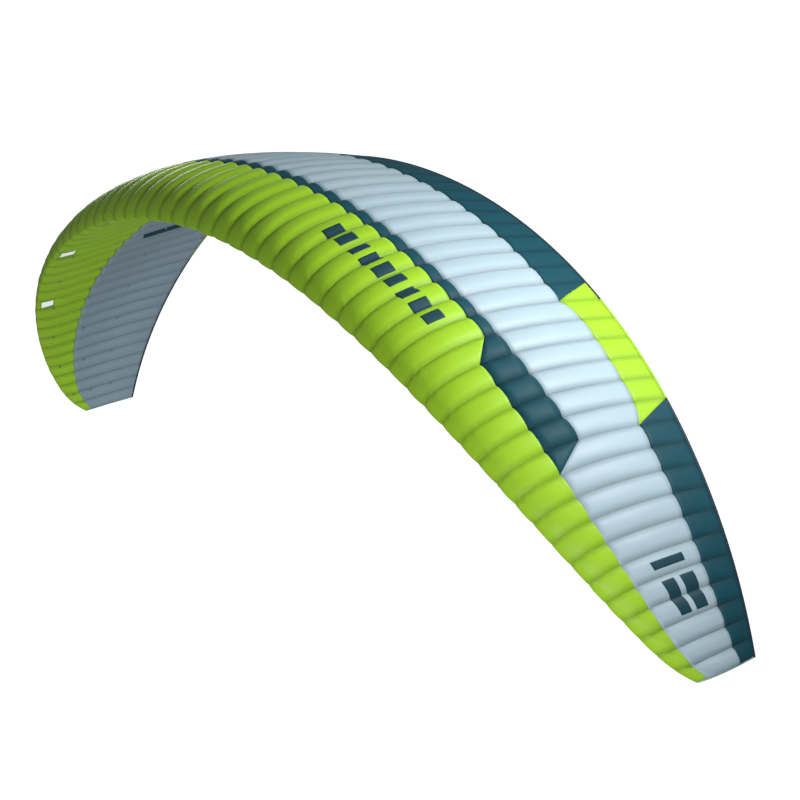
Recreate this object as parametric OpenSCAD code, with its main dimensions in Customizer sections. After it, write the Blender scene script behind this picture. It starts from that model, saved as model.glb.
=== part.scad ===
// Closed-cell parafoil kite canopy: ribs, skins, air intakes, bridle loops and deflation zip.
// X runs along the span, the leading edge faces -Y and +Z is up.
// The origin lies midway between the two innermost front bridle loops.

/* [Planform] */
// Number of cells across the whole span (odd)
cells = 61; // [57:2:65]
// Half of the flat span, measured along the arc
half_span = 5240; // [4200:10:6500]
// Chord at the middle of the wing
centre_chord = 1700; // [1350:10:2100]
// Chord at the wing tip, before its corner is rounded
tip_chord = 530; // [430:10:650]
// Power of the curve that narrows the chord towards the tip
planform_power = 3.3; // [2.5:0.1:4.5]
// How far the leading edge runs back at the tip
tip_sweep = 620; // [450:10:800]
// Power of the leading edge's sweep curve
sweep_power = 4.3; // [3:0.1:6]
// How far the tip's front corner is rounded back
tip_round = 90; // [60:5:120]
// How much narrower the outer cells are (0 gives equal cells)
cell_taper = 0.18; // [0:0.01:0.25]

/* [Arc] */
// Slope of the wing at its tips, in degrees below level
tip_angle = 71.4; // [50:0.1:80]
// Share of that slope that grows evenly along the span
arc_even = 0.72; // [0.5:0.01:0.85]
// Share of that slope that is reached in the last tenth of the span
arc_tip = 0.137; // [0:0.001:0.15]
// Nose-up twist of the tips, in degrees
tip_twist = 3.2; // [0:0.1:5]

/* [Profile] */
// Thickness of the upper half of the profile, doubled, over the chord
thickness = 0.223; // [0.16:0.001:0.26]
// Depth of the lower half as a share of the upper half
lower_share = 0.2; // [0.12:0.01:0.4]
// Extra roundness of the lower nose, over the chord
nose_round = 0.04; // [0.02:0.005:0.06]
// Camber of the profile over the chord
camber = 0.03; // [0.01:0.005:0.05]
// Height of the trailing edge
trailing_edge_h = 10; // [10:0.5:14]
// Billow of each cell between its ribs, over the cell's width
billow = 0.1; // [0.04:0.01:0.14]

/* [Colour blocks] */
// Rear edge of the outer nose panels, over the chord
outer_nose_x = 0.282; // [0.25:0.001:0.31]
// How far that edge moves forward at the tips
outer_nose_shift = 0.17; // [0.1:0.01:0.2]
// Rear edge of the inner nose panels, over the chord
inner_nose_x = 0.342; // [0.32:0.001:0.36]
// Rear edge of the leading stripe, over the chord
stripe_x = 0.386; // [0.375:0.001:0.42]
// Front edge of the trailing panels, over the chord
trailing_x = 0.818; // [0.75:0.001:0.84]
// How far that edge moves forward at the tips
trailing_shift = 0.153; // [0.1:0.001:0.2]
// Extra setback of the trailing panels' insert
insert_setback = 0.038; // [0.01:0.001:0.05]
// Rear edge of the lower nose panels, over the chord
lower_nose_x = 0.456; // [0.4:0.001:0.5]
// How far that edge moves forward at the tips
lower_nose_shift = 0.318; // [0.2:0.001:0.34]
// Last rib with the narrow inner stripe, counted from the middle
stripe_last = 14; // [12:1:15]
// Last rib of the wide stripe patch
patch_last = 19; // [18:1:20]
// First and last cell of the trailing insert
insert_first = 13; // [12:1:14]
// Last cell of the trailing insert
insert_last = 19; // [18:1:20]
// Last cell of the centre section
section_last = 10; // [8:1:11]

/* [Cloth] */
// Thickness of the skins
skin_t = 2; // [1.5:0.1:2.5]
// Thickness of the rib cloth
rib_t = 2; // [1.5:0.1:2.5]
// Gap between a rib and the skins
rib_gap = 0.4; // [0.3:0.05:0.8]
// Gap between the panels of two cells
seam_gap = 0.4; // [0.3:0.05:0.8]
// Radius of the largest cross port over the rib's height
port_share = 0.27; // [0.2:0.01:0.32]
// Width of the spanwise tension tapes
tape_w = 25; // [15:1:40]
// Thickness of the tapes and diagonals
tape_t = 1.2; // [1:0.1:2]
// Depth of the nose reinforcements over the chord
nose_mylar_x = 0.08; // [0.05:0.005:0.09]
// Thickness of the nose reinforcements
mylar_t = 0.5; // [0.4:0.1:1]
// Length of the trailing-edge binding
binding_w = 8; // [5:0.5:12]

/* [Air intakes] */
// Cell of the innermost intake
intake_first = 1; // [1:1:2]
// Cells from one intake to the next
intake_step = 6; // [6:1:7]
// Intakes on each half of the wing
intake_count = 4; // [3:1:4]
// Front edge of an intake over the chord
intake_front_x = 0.024; // [0.02:0.001:0.03]
// Rear edge of an intake over the chord
intake_rear_x = 0.1; // [0.08:0.001:0.11]
// Share of the cell's width left beside an intake
intake_side = 0.18; // [0.16:0.01:0.25]
// Width of the intake's frame tape
frame_w = 12; // [8:0.5:14]
// Thickness of the frame tape
frame_t = 1.5; // [1:0.1:2]
// Thickness of the valve flap
flap_t = 1; // [0.8:0.1:1.5]
// How far a flap overlaps its opening on each side
flap_lap = 6; // [4:0.5:8]

/* [Bridle loops] */
// Ribs from one load rib to the next
load_step = 3; // [3:1:4]
// Rows of bridle loops over the chord, front to back
row_a_x = 0.1; // [0.08:0.01:0.12]
// Second row of loops over the chord
row_b_x = 0.34; // [0.3:0.01:0.4]
// Third row of loops over the chord
row_c_x = 0.62; // [0.55:0.01:0.7]
// Brake row over the chord
row_brake_x = 0.96; // [0.93:0.005:0.97]
// Width of a loop's webbing
loop_w = 12; // [10:0.5:16]
// Thickness of a loop across its two layers
loop_t = 1.6; // [1.2:0.1:2.4]
// Radius of a loop's round eye
eye_r = 3; // [2.5:0.1:4]
// Distance of the eye's centre from the skin
eye_drop = 20; // [16:0.5:28]

/* [Zip and tip vents] */
// Length of the deflation zip
zip_len = 170; // [120:5:180]
// Width of the zip tape
zip_w = 30; // [24:1:36]
// Length of the zip slider
slider_len = 14; // [10:1:18]
// Length of the zip pull
pull_len = 40; // [25:1:60]
// Length of the tip vent's opening
vent_len = 60; // [40:5:80]
// Height of the tip vent's opening
vent_h = 14; // [10:1:18]
// How far the vent's flap laps over its opening
vent_lap = 5; // [3:0.5:8]

/* [Hidden] */

lime = "#a6d82f";
teal = "#24525c";
silver = "#c9dde3";
grey = "#7f949b";
white = "#f2f5f2";
cloth_white = "#dfe6e6";
black = "#20262a";

last_cell = (cells - 1) / 2;
last_rib = cells / 2;
arc_steps = 240;
edge_eps = 0.004;      // width that a colour wedge keeps at its point, over the chord
strip_gap = 0.0003;    // between the strips around an intake, over the chord
round_power = 40;      // keeps the tip's rounding to its last two cells
nose_rows = 5;
main_rows = 3;
lower_rows = 2;
diagonal_lift = 4;     // from the skins' inner faces to the diagonals
tape_lift = 3.5;       // from the skin's inner face to the tension tapes
mylar_gap = 0.05;
mylar_inset = 1;       // from a rib's edge to its film patch
thin_gap = 0.3;
cloth_gap = 0.6;       // from a sewn end to the cloth that it is sewn to

// ---- Shape of the wing -------------------------------------------------------------------

// Station along the half span, 0 to 1, of the rib j cells from the middle
function station(j) = let (q = abs(j) / last_rib) (1 + cell_taper) * q - cell_taper * pow(q, 3);

function arc_angle(s) =
    tip_angle * (arc_even * s + (1 - arc_even - arc_tip) * pow(s, 3) + arc_tip * pow(s, 9));

arc_x = [
    for (i = 0, x = 0; i <= arc_steps;
         x = x + cos(arc_angle((i + 0.5) / arc_steps)) * half_span / arc_steps, i = i + 1)
        [i / arc_steps, x]
];
arc_z = [
    for (i = 0, z = 0; i <= arc_steps;
         z = z - sin(arc_angle((i + 0.5) / arc_steps)) * half_span / arc_steps, i = i + 1)
        [i / arc_steps, z]
];

function chord(s) =
    tip_chord + (centre_chord - tip_chord) * (1 - pow(s, planform_power))
    - tip_round * pow(s, round_power);
function sweep(s) = tip_sweep * pow(s, sweep_power) + tip_round * pow(s, round_power);
function twist(s) = -tip_twist * pow(s, 2);

// NACA four-digit half thickness and a front-loaded camber, over the chord
function half_thickness(x) =
    5 * thickness * (0.2969 * sqrt(x) - 0.126 * x - 0.3516 * pow(x, 2) + 0.2843 * pow(x, 3)
                     - 0.1036 * pow(x, 4));
function camber_line(x) = 4 * camber * x * (1 - x) * (1 - 0.6 * x);
function profile_z(x, up, te) =
    up ? camber_line(x) + half_thickness(x) + te * x
       : camber_line(x) - lower_share * half_thickness(x)
         - nose_round * sqrt(x) * pow(1 - x, 4) - te * x;

// Outward normal of the profile at x, in the plane of a rib
function profile_normal(x, up, te) =
    x <= 0 ? [-1, 0]
    : let (e = min(0.002, x / 2), x0 = x - e, x1 = min(1, x + e),
           dz = profile_z(x1, up, te) - profile_z(x0, up, te), dy = x1 - x0,
           n = up ? [-dz, dy] : [dz, -dy])
      n / norm(n);

// Point of the profile in the rib's plane, d below the skin's outer face
function profile_point(s, x, up, d) =
    let (c = chord(s), te = trailing_edge_h / 2 / c,
         p = [x, profile_z(x, up, te)] * c - profile_normal(x, up, te) * d, a = twist(s))
    [p[0] * cos(a) - p[1] * sin(a), p[0] * sin(a) + p[1] * cos(a)];

// From the plane of rib j to space, before the origin is set
function raw_place(j, p) =
    let (s = station(j), a = arc_angle(s), side = j < 0 ? -1 : 1)
    [side * (lookup(s, arc_x) + p[1] * sin(a)), sweep(s) + p[0], lookup(s, arc_z) + p[1] * cos(a)];

first_load_rib = floor(load_step / 2);
first_seat = lower_seat(first_load_rib, row_a_x);
datum = raw_place(first_load_rib + 0.5, first_seat[0] + first_seat[1] * eye_drop);
origin = [0, datum[1], datum[2]];

function rib_point(j, x, up, d) = raw_place(j, profile_point(station(j), x, up, d)) - origin;

// ---- Cells -------------------------------------------------------------------------------

function is_intake(i) = len([for (n = [0:intake_count - 1]) if (i == intake_first + n * intake_step) n]) > 0;
function cell_width(i) = norm(rib_point(i + 0.5, 0, true, 0) - rib_point(i - 0.5, 0, true, 0));
function mix(a, b, f) = a + (b - a) * f;

// Billow along the chord: full over the front, none at the trailing edge
function swell(x) = (0.6 + 0.4 * min(1, x / 0.15)) * (1 - pow(x, 3));

// A cell with an intake is flat across its opening
function intake_flat(i, x, up) =
    up || !is_intake(i) ? 1
    : x < intake_front_x ? 1 - x / intake_front_x
    : x <= intake_rear_x ? 0
    : min(1, (x - intake_rear_x) / (lower_nose_x - lower_nose_shift - intake_rear_x));

// Point of cell i at u across it, x = [at its inner rib, at its outer rib], d below the face
function cell_point(i, u, x, up, d) =
    let (a = rib_point(i - 0.5, x[0], up, d), b = rib_point(i + 0.5, x[1], up, d),
         n = (rib_point(i - 0.5, x[0], up, d - 1) - a) + (rib_point(i + 0.5, x[1], up, d - 1) - b),
         xm = mix(x[0], x[1], u))
    mix(a, b, u) + n / norm(n) * billow * cell_width(i) * swell(xm) * intake_flat(i, xm, up)
                   * (1 - abs(2 * u - 1));

function quad(a, b, c, d, turn) = turn ? [[a, c, b], [a, d, c]] : [[a, b, c], [a, c, d]];

// A sheet of cloth with nu by nv points on each face: outer points first, then inner ones
module sheet(outer, inner, nu, nv, up) {
    m = nu * nv;
    t = !up;
    faces = concat(
        [for (b = [0:nv - 2]) for (a = [0:nu - 2]) let (p = b * nu + a)
            each quad(p, p + nu, p + nu + 1, p + 1, t)],
        [for (b = [0:nv - 2]) for (a = [0:nu - 2]) let (p = m + b * nu + a)
            each quad(p, p + 1, p + nu + 1, p + nu, t)],
        [for (a = [0:nu - 2]) each quad(m + a, a, a + 1, m + a + 1, t)],
        [for (a = [0:nu - 2]) let (p = (nv - 1) * nu + a)
            each quad(m + p + 1, p + 1, p, m + p, t)],
        [for (b = [0:nv - 2]) let (p = b * nu) each quad(m + p + nu, p + nu, p, m + p, t)],
        [for (b = [0:nv - 2]) let (p = b * nu + nu - 1)
            each quad(m + p, p, p + nu, m + p + nu, t)]
    );
    polyhedron(points = concat(outer, inner), faces = faces);
}

// Rows of a panel between two edges; power 2 crowds them towards the front edge
function rows(front, rear, count, power = 1) = [for (r = [0:count]) mix(front, rear, pow(r / count, power))];

// One panel of cell i. Each row is [x at the inner rib, x at the outer rib].
module panel(i, up, xs, span = [0, 0.5, 1]) {
    trim = seam_gap / 2 / cell_width(i);
    us = [for (u = span) u == 0 ? trim : u == 1 ? 1 - trim : u];
    outer = [for (x = xs) for (u = us) cell_point(i, u, x, up, 0)];
    inner = [for (x = xs) for (u = us) cell_point(i, u, x, up, skin_t)];
    sheet(outer, inner, len(us), len(xs), up);
}

// ---- Edges of the colour blocks at rib m (m = 0 beside the middle) --------------------------

function rib_q(m) = (m + 0.5) / last_rib;
function nose_edge(m) =
    m <= stripe_last ? inner_nose_x : outer_nose_x - outer_nose_shift * pow(rib_q(m), 2);
function stripe_edge(m) = m <= patch_last ? stripe_x + 0.03 * pow(rib_q(m), 2) : nose_edge(m) + edge_eps;
function main_edge(i, m) = i <= patch_last + 1 ? stripe_edge(m) : nose_edge(m);
function in_insert(m) = m > insert_first && m < insert_last;
function trailing_edge_x(m) =
    trailing_x - trailing_shift * pow(rib_q(m), 2) + (in_insert(m) ? insert_setback : 0);
function lower_edge(m) = lower_nose_x - lower_nose_shift * pow(rib_q(m), 2);

// Diagonal ends of the trailing insert
function insert_cut(i, m) =
    (i == insert_first && m < i) || (i == insert_last && m < i)
        ? 1 - edge_eps : trailing_edge_x(m) + edge_eps;

// Rib numbers at the inner and outer side of cell i; the middle cell has rib 0 on both sides
function cell_ribs(i) = [max(0, i - 1), i];
function at_ribs(i, f) = [for (m = cell_ribs(i)) f(m)];

module nose_panel(i) {
    panel(i, true, rows([0, 0], at_ribs(i, function (m) nose_edge(m)), nose_rows, 2));
}

module stripe_panel(i) {
    if (i <= patch_last + 1)
        panel(i, true, [at_ribs(i, function (m) nose_edge(m)), at_ribs(i, function (m) stripe_edge(m))]);
}

module top_panel(i) {
    panel(i, true, rows(at_ribs(i, function (m) main_edge(i, m)), at_ribs(i, function (m) trailing_edge_x(m)),
                        main_rows));
}

module trailing_panel(i) {
    front = at_ribs(i, function (m) trailing_edge_x(m));
    cut = at_ribs(i, function (m) insert_cut(i, m));
    if (i < insert_first || i > insert_last) panel(i, true, [front, [1, 1]]);
    if (i == insert_first) panel(i, true, [front, cut]);
    if (i == insert_last) panel(i, true, [cut, [1, 1]]);
}

module insert_panel(i) {
    front = at_ribs(i, function (m) trailing_edge_x(m));
    cut = at_ribs(i, function (m) insert_cut(i, m));
    if (i > insert_first && i < insert_last) panel(i, true, [front, [1, 1]]);
    if (i == insert_first) panel(i, true, [cut, [1, 1]]);
    if (i == insert_last) panel(i, true, [front, cut]);
}

// Rows of the lower nose at rib m, with two at the edges of the air intakes
function lower_nose_rows(m) =
    let (a = lower_edge(m))
    [0, intake_front_x / 4, intake_front_x, intake_rear_x, mix(intake_rear_x, a, 0.5), a];

// An intake cell's panel is four strips around its opening
module lower_nose_panel(i) {
    in_rows = lower_nose_rows(cell_ribs(i)[0]);
    out_rows = lower_nose_rows(cell_ribs(i)[1]);
    xs = [for (k = [0:len(in_rows) - 1]) [in_rows[k], out_rows[k]]];
    if (is_intake(i)) {
        sides = [xs[2] + [strip_gap, strip_gap], xs[3] - [strip_gap, strip_gap]];
        panel(i, false, [xs[0], xs[1], xs[2]]);
        panel(i, false, sides, [0, intake_side]);
        panel(i, false, sides, [1 - intake_side, 1]);
        panel(i, false, [xs[3], xs[4], xs[5]]);
    } else
        panel(i, false, xs);
}

module lower_panel(i) {
    panel(i, false, rows(at_ribs(i, function (m) lower_edge(m)), [1, 1], lower_rows));
}

// The middle cell and its neighbours on both sides, or one outer section
module centre_section() {
    for (i = [0:section_last]) { $cell = i; children(); }
    mirror([1, 0, 0]) for (i = [1:section_last]) { $cell = i; children(); }
}
module outer_section() {
    for (i = [section_last + 1:last_cell]) { $cell = i; children(); }
}

// ---- Ribs --------------------------------------------------------------------------------

function is_load(m) = m % load_step == floor(load_step / 2);
load_rib_numbers = [for (m = [0:last_cell - 1]) if (is_load(m)) m];

// Positions of the panels' rows at rib m, which the rib's outline follows
function upper_rows(m) =
    let (a = nose_edge(m), b = m <= patch_last ? stripe_edge(m) : a, c = trailing_edge_x(m))
    concat([for (r = [0:nose_rows]) a * pow(r / nose_rows, 2)],
           [for (r = [m <= patch_last ? 0 : 1:main_rows]) mix(b, c, r / main_rows)], [1]);
function lower_rows_at(m) =
    concat(lower_nose_rows(m), [for (r = [1:lower_rows]) mix(lower_edge(m), 1, r / lower_rows)]);

// Point of the lower skin's outer face on rib m at x and the outward direction there
function lower_seat(m, x) =
    let (s = station(m + 0.5), xs = lower_rows_at(m),
         k = min(len(xs) - 2, len([for (r = xs) if (r <= x) r]) - 1),
         a = profile_point(s, xs[k], false, 0), b = profile_point(s, xs[k + 1], false, 0),
         along = (b - a) / norm(b - a))
    [mix(a, b, (x - xs[k]) / (xs[k + 1] - xs[k])), [along[1], -along[0]]];

function rib_outline(m, d) =
    let (s = station(m + 0.5), lo = lower_rows_at(m), n = len(lo) - 1)
    concat([for (x = upper_rows(m)) profile_point(s, x, true, d)],
           [for (k = [0:n - 1]) profile_point(s, lo[n - k], false, d)]);

// Puts a shape drawn in the plane of rib j into space, shift mm further out along the span
module in_rib_plane(j, shift = 0) {
    s = station(j);
    a = arc_angle(s);
    p = raw_place(j, [0, 0]) - origin + [cos(a), 0, -sin(a)] * shift;
    multmatrix([[0, sin(a), cos(a), p[0]],
                [1, 0, 0, p[1]],
                [0, cos(a), -sin(a), p[2]],
                [0, 0, 0, 1]])
        children();
}

port_xs = [0.13, 0.26, 0.4, 0.54, 0.68];

module rib(m, ports) {
    s = station(m + 0.5);
    in_rib_plane(m + 0.5)
        linear_extrude(height = rib_t, center = true)
            difference() {
                polygon(rib_outline(m, skin_t + rib_gap));
                for (x = ports) {
                    top = profile_point(s, x, true, 0);
                    bottom = profile_point(s, x, false, 0);
                    translate((top + bottom) / 2)
                        circle(r = port_share * norm(top - bottom), $fn = 48);
                }
            }
}

module plain_ribs() {
    for (m = [0:last_cell - 1]) if (!is_load(m)) rib(m, port_xs);
}

// A load rib keeps solid cloth above its bridle rows
module load_ribs() {
    for (m = load_rib_numbers) rib(m, [row_a_x + 0.07, mix(row_a_x, row_b_x, 0.68), mix(row_b_x, row_c_x, 0.5)]);
}

// Film patch on the outboard face of each rib's nose
module nose_reinforcement(m) {
    long = nose_mylar_x * chord(station(m + 0.5));
    in_rib_plane(m + 0.5, rib_t / 2 + mylar_gap + mylar_t / 2)
        linear_extrude(height = mylar_t, center = true)
            intersection() {
                polygon(rib_outline(m, skin_t + rib_gap + mylar_inset));
                translate([0, -long]) square([long, 3 * long]);
            }
}

// Half widths of a diagonal over the chord, and the middle of the front ones behind the nose film
foot_half = 0.035;
top_half = 0.06;
front_diagonal_x = nose_mylar_x + top_half + 0.01;

// A strip of cloth from the foot of load rib m to the top of the rib next to it
module diagonal(m, way, x) {
    i = way > 0 ? m + 1 : m;
    f = (rib_t / 2 + cloth_gap) / cell_width(i);
    from = m + 0.5;
    to = from + way;
    function line(dx, d_foot, d_top, k) =
        mix(rib_point(from, x + dx * foot_half, false, d_foot),
            rib_point(to, x + dx * top_half, true, d_top), k);
    d0 = skin_t + diagonal_lift;
    d1 = d0 + tape_t;
    outer = [for (dx = [-1, 1]) for (k = way > 0 ? [f, 1 - f] : [1 - f, f]) line(dx, d0, d1, k)];
    inner = [for (dx = [-1, 1]) for (k = way > 0 ? [f, 1 - f] : [1 - f, f]) line(dx, d1, d0, k)];
    sheet(outer, inner, 2, 2, false);
}

// Front diagonals leave the intake cells free for their flaps
module diagonal_ribs() {
    for (m = load_rib_numbers) {
        if (!is_intake(m)) diagonal(m, -1, front_diagonal_x);
        if (m < last_cell - 1) diagonal(m, 1, front_diagonal_x);
        for (way = [-1, 1]) if (m + way < last_cell) diagonal(m, way, row_b_x);
    }
}

// Spanwise tape on the inner side of the lower skin, in one length per cell
module tension_tape(i, x) {
    half = tape_w / 2 / centre_chord;
    f = (rib_t / 2 + cloth_gap) / cell_width(i);
    d = skin_t + tape_lift;
    function at(u, dx, dd) = mix(rib_point(i - 0.5, x + dx, false, dd), rib_point(i + 0.5, x + dx, false, dd), u);
    outer = [for (dx = [-half, half]) for (u = [f, 1 - f]) at(u, dx, d)];
    inner = [for (dx = [-half, half]) for (u = [f, 1 - f]) at(u, dx, d + tape_t)];
    sheet(outer, inner, 2, 2, false);
}

module tension_tapes() {
    color(white) for (x = [mix(row_a_x, row_b_x, 0.45), mix(row_b_x, row_c_x, 0.45)]) {
        for (i = [0:last_cell]) tension_tape(i, x);
        mirror([1, 0, 0]) for (i = [1:last_cell]) tension_tape(i, x);
    }
}

// ---- Trailing edge, tips -------------------------------------------------------------------

// Binding behind the skins' rear edges, one length per cell
module binding(i) {
    trim = seam_gap / 2 / cell_width(i);
    function edge(j, up, back) = rib_point(j, 1, up, 0) + [0, back, 0];
    function row(up, back) =
        [for (u = [trim, 1 - trim]) mix(edge(i - 0.5, up, back), edge(i + 0.5, up, back), u)];
    sheet(concat(row(true, thin_gap), row(true, binding_w)),
          concat(row(false, thin_gap), row(false, binding_w)), 2, 2, true);
}

module trailing_edge_binding() {
    color(black) {
        for (i = [0:last_cell]) binding(i);
        mirror([1, 0, 0]) for (i = [1:last_cell]) binding(i);
    }
}

vent_x = 0.56;
tip_panel_shift = seam_gap / 2 + thin_gap + rib_t / 2;

function vent_centre() =
    let (s = station(last_rib))
    (profile_point(s, vent_x, true, 0) + profile_point(s, vent_x, false, 0)) / 2;

module tip_panel() {
    in_rib_plane(last_rib, tip_panel_shift)
        linear_extrude(height = rib_t, center = true)
            difference() {
                polygon(rib_outline(last_cell, 0));
                translate(vent_centre()) square([vent_len, vent_h], center = true);
            }
}

// Flap over the sand vent in the tip panel; it turns on its upper edge
module tip_vent_flap() {
    color(black)
        in_rib_plane(last_rib, tip_panel_shift + rib_t / 2 + thin_gap + flap_t / 2)
            linear_extrude(height = flap_t, center = true)
                translate(vent_centre())
                    square([vent_len + 2 * vent_lap, vent_h + 2 * vent_lap], center = true);
}

// ---- Air intakes -----------------------------------------------------------------------------

function intake_cell(n) = intake_first + (n - 1) * intake_step;

// Corner of intake n at the skin's inner face: side is 0 inboard and 1 outboard
function intake_corner(n, side, x) =
    cell_point(intake_cell(n), side == 0 ? intake_side : 1 - intake_side, [x, x], false, skin_t);

// Local frame of intake n: middle of its front edge, span, chord and inward directions
function intake_axes(n) =
    let (a = intake_corner(n, 0, intake_front_x), b = intake_corner(n, 1, intake_front_x),
         c = intake_corner(n, 0, intake_rear_x), d = intake_corner(n, 1, intake_rear_x),
         ex = (b - a) / norm(b - a), back = (c + d - a - b) / 2,
         raw = back - ex * (back * ex), ey = raw / norm(raw), ez = cross(ex, ey))
    [(a + b) / 2, ex, ey, ez, norm(b - a), norm(raw)];

module in_intake(n, lift) {
    f = intake_axes(n);
    o = f[0] + f[3] * lift;
    multmatrix([for (r = [0:2]) [f[1][r], f[2][r], f[3][r], o[r]]]) children();
}

frame_lift = 0.9;  // clears the slight twist of the skin under the frame
frame_front = 3;   // width of the frame ahead of its opening, where the nose curls up

module intake_frame(n) {
    f = intake_axes(n);
    in_intake(n, frame_lift)
        linear_extrude(height = frame_t)
            difference() {
                translate([-f[4] / 2 - frame_w, -frame_front])
                    square([f[4] + 2 * frame_w, f[5] + frame_front + frame_w]);
                translate([-f[4] / 2, 0]) square([f[4], f[5]]);
            }
}

module intake_frames() {
    color(cloth_white) for (n = [1:intake_count]) {
        intake_frame(n);
        mirror([1, 0, 0]) intake_frame(n);
    }
}

module intake_flap(n) {
    f = intake_axes(n);
    color(white)
        in_intake(n, frame_lift + frame_t + thin_gap)
            translate([-f[4] / 2 - flap_lap, -frame_front, 0])
                cube([f[4] + 2 * flap_lap, f[5] + frame_front + flap_lap, flap_t]);
}

// ---- Bridle loops ------------------------------------------------------------------------------

// Folded webbing with a round eye, hanging from the lower skin under load rib m
module bridle_loop(m, x) {
    seat = lower_seat(m, x);
    in_rib_plane(m + 0.5)
        linear_extrude(height = loop_t, center = true)
            translate(seat[0])
                rotate(atan2(seat[1][1], seat[1][0]))
                    difference() {
                        union() {
                            translate([cloth_gap, -loop_w / 2]) square([eye_drop - cloth_gap, loop_w]);
                            translate([eye_drop, 0]) circle(d = loop_w, $fn = 48);
                        }
                        translate([eye_drop, 0]) circle(r = eye_r, $fn = 48);
                    }
}

module loop_row(x) {
    color(grey) for (m = load_rib_numbers) {
        bridle_loop(m, x);
        mirror([1, 0, 0]) bridle_loop(m, x);
    }
}

// ---- Deflation zip under the middle cell's trailing edge -----------------------------------------

zip_x = 0.965;
zip_t = 1.5;
coil_w = 5;
coil_h = 2;
slider_w = 11;
slider_h = 5;
pull_w = 9;
pull_t = 1.6;
pivot_r = 1;

// The zip lies along the last row of the middle cell's lower panel
function zip_frame() =
    let (front = mix(1, lower_edge(0), 1 / lower_rows),
         a = cell_point(0, 0.5, [front, front], false, 0), b = cell_point(0, 0.5, [1, 1], false, 0))
    [mix(a, b, (zip_x - front) / (1 - front)), atan2(b[2] - a[2], b[1] - a[1])];

module on_zip() {
    f = zip_frame();
    translate(f[0]) rotate([f[1], 0, 0]) children();
}

module zip_tape() {
    color(black) on_zip() for (side = [-1, 1])
        translate([-zip_len / 2, side > 0 ? 0.1 : -zip_w / 2, -thin_gap - zip_t])
            cube([zip_len, zip_w / 2 - 0.1, zip_t]);
}

module zip_coil() {
    color(grey) on_zip()
        translate([-zip_len / 2 + 4, -coil_w / 2, -thin_gap - zip_t - coil_h])
            cube([zip_len - 8, coil_w, coil_h]);
}

slider_top = -thin_gap - zip_t - thin_gap;
slider_x = zip_len / 2 - 4 - slider_len / 2;

module zip_slider() {
    color(silver) on_zip() translate([slider_x, 0, slider_top]) {
        difference() {
            translate([-slider_len / 2, -slider_w / 2, -slider_h]) cube([slider_len, slider_w, slider_h]);
            translate([-slider_len / 2 - 1, -coil_w / 2 - thin_gap, -coil_h - thin_gap + thin_gap])
                cube([slider_len + 2, coil_w + 2 * thin_gap, coil_h + thin_gap]);
        }
        for (side = [-1, 1])
            translate([side * 3 - 0.75, -3, -slider_h - 4]) cube([1.5, 6, 4]);
        translate([-3, 0, -slider_h - 2.2]) rotate([0, 90, 0]) cylinder(r = pivot_r, h = 6, $fn = 32);
    }
}

module zip_pull() {
    f = zip_frame();
    color(black) on_zip() translate([slider_x, 0, slider_top - slider_h - 2.2])
        rotate([-f[1], 0, 0])
            difference() {
                union() {
                    translate([-1.9, -1.5, -3 - pivot_r]) cube([3.8, 3, 3 + pivot_r]);
                    rotate([0, 90, 0]) cylinder(r = pivot_r + 1, h = 3.8, center = true, $fn = 32);
                    translate([-pull_w / 2, -pull_t / 2, -pull_len]) cube([pull_w, pull_t, pull_len - 3.5]);
                }
                rotate([0, 90, 0]) cylinder(r = pivot_r + 0.1, h = 10, center = true, $fn = 32);
            }
}

// ---- Nodes ------------------------------------------------------------------------------------

module nose_panels_centre() { color(lime) centre_section() nose_panel($cell); }
module nose_panels_right() { color(lime) outer_section() nose_panel($cell); }
module nose_panels_left() { mirror([1, 0, 0]) nose_panels_right(); }
module leading_stripe_centre() { color(teal) centre_section() stripe_panel($cell); }
module leading_stripe_right() { color(teal) outer_section() stripe_panel($cell); }
module leading_stripe_left() { mirror([1, 0, 0]) leading_stripe_right(); }
module top_panels_centre() { color(silver) centre_section() top_panel($cell); }
module top_panels_right() { color(silver) outer_section() top_panel($cell); }
module top_panels_left() { mirror([1, 0, 0]) top_panels_right(); }
module trailing_panels_centre() { color(teal) centre_section() trailing_panel($cell); }
module trailing_panels_right() { color(teal) outer_section() trailing_panel($cell); }
module trailing_panels_left() { mirror([1, 0, 0]) trailing_panels_right(); }
module trailing_insert_right() { color(lime) outer_section() insert_panel($cell); }
module trailing_insert_left() { mirror([1, 0, 0]) trailing_insert_right(); }
module lower_nose_centre() { color(lime) centre_section() lower_nose_panel($cell); }
module lower_nose_right() { color(lime) outer_section() lower_nose_panel($cell); }
module lower_nose_left() { mirror([1, 0, 0]) lower_nose_right(); }
module lower_panels_centre() { color(grey) centre_section() lower_panel($cell); }
module lower_panels_right() { color(grey) outer_section() lower_panel($cell); }
module lower_panels_left() { mirror([1, 0, 0]) lower_panels_right(); }
module tip_panel_right() { color(grey) tip_panel(); }
module tip_panel_left() { mirror([1, 0, 0]) tip_panel_right(); }
module plain_ribs_right() { color(cloth_white) plain_ribs(); }
module plain_ribs_left() { mirror([1, 0, 0]) plain_ribs_right(); }
module load_ribs_right() { color(cloth_white) load_ribs(); }
module load_ribs_left() { mirror([1, 0, 0]) load_ribs_right(); }
module nose_reinforcements_right() { color(white) for (m = [0:last_cell - 1]) nose_reinforcement(m); }
module nose_reinforcements_left() { mirror([1, 0, 0]) nose_reinforcements_right(); }
module diagonal_ribs_right() { color(white) diagonal_ribs(); }
module diagonal_ribs_left() { mirror([1, 0, 0]) diagonal_ribs_right(); }

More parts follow.
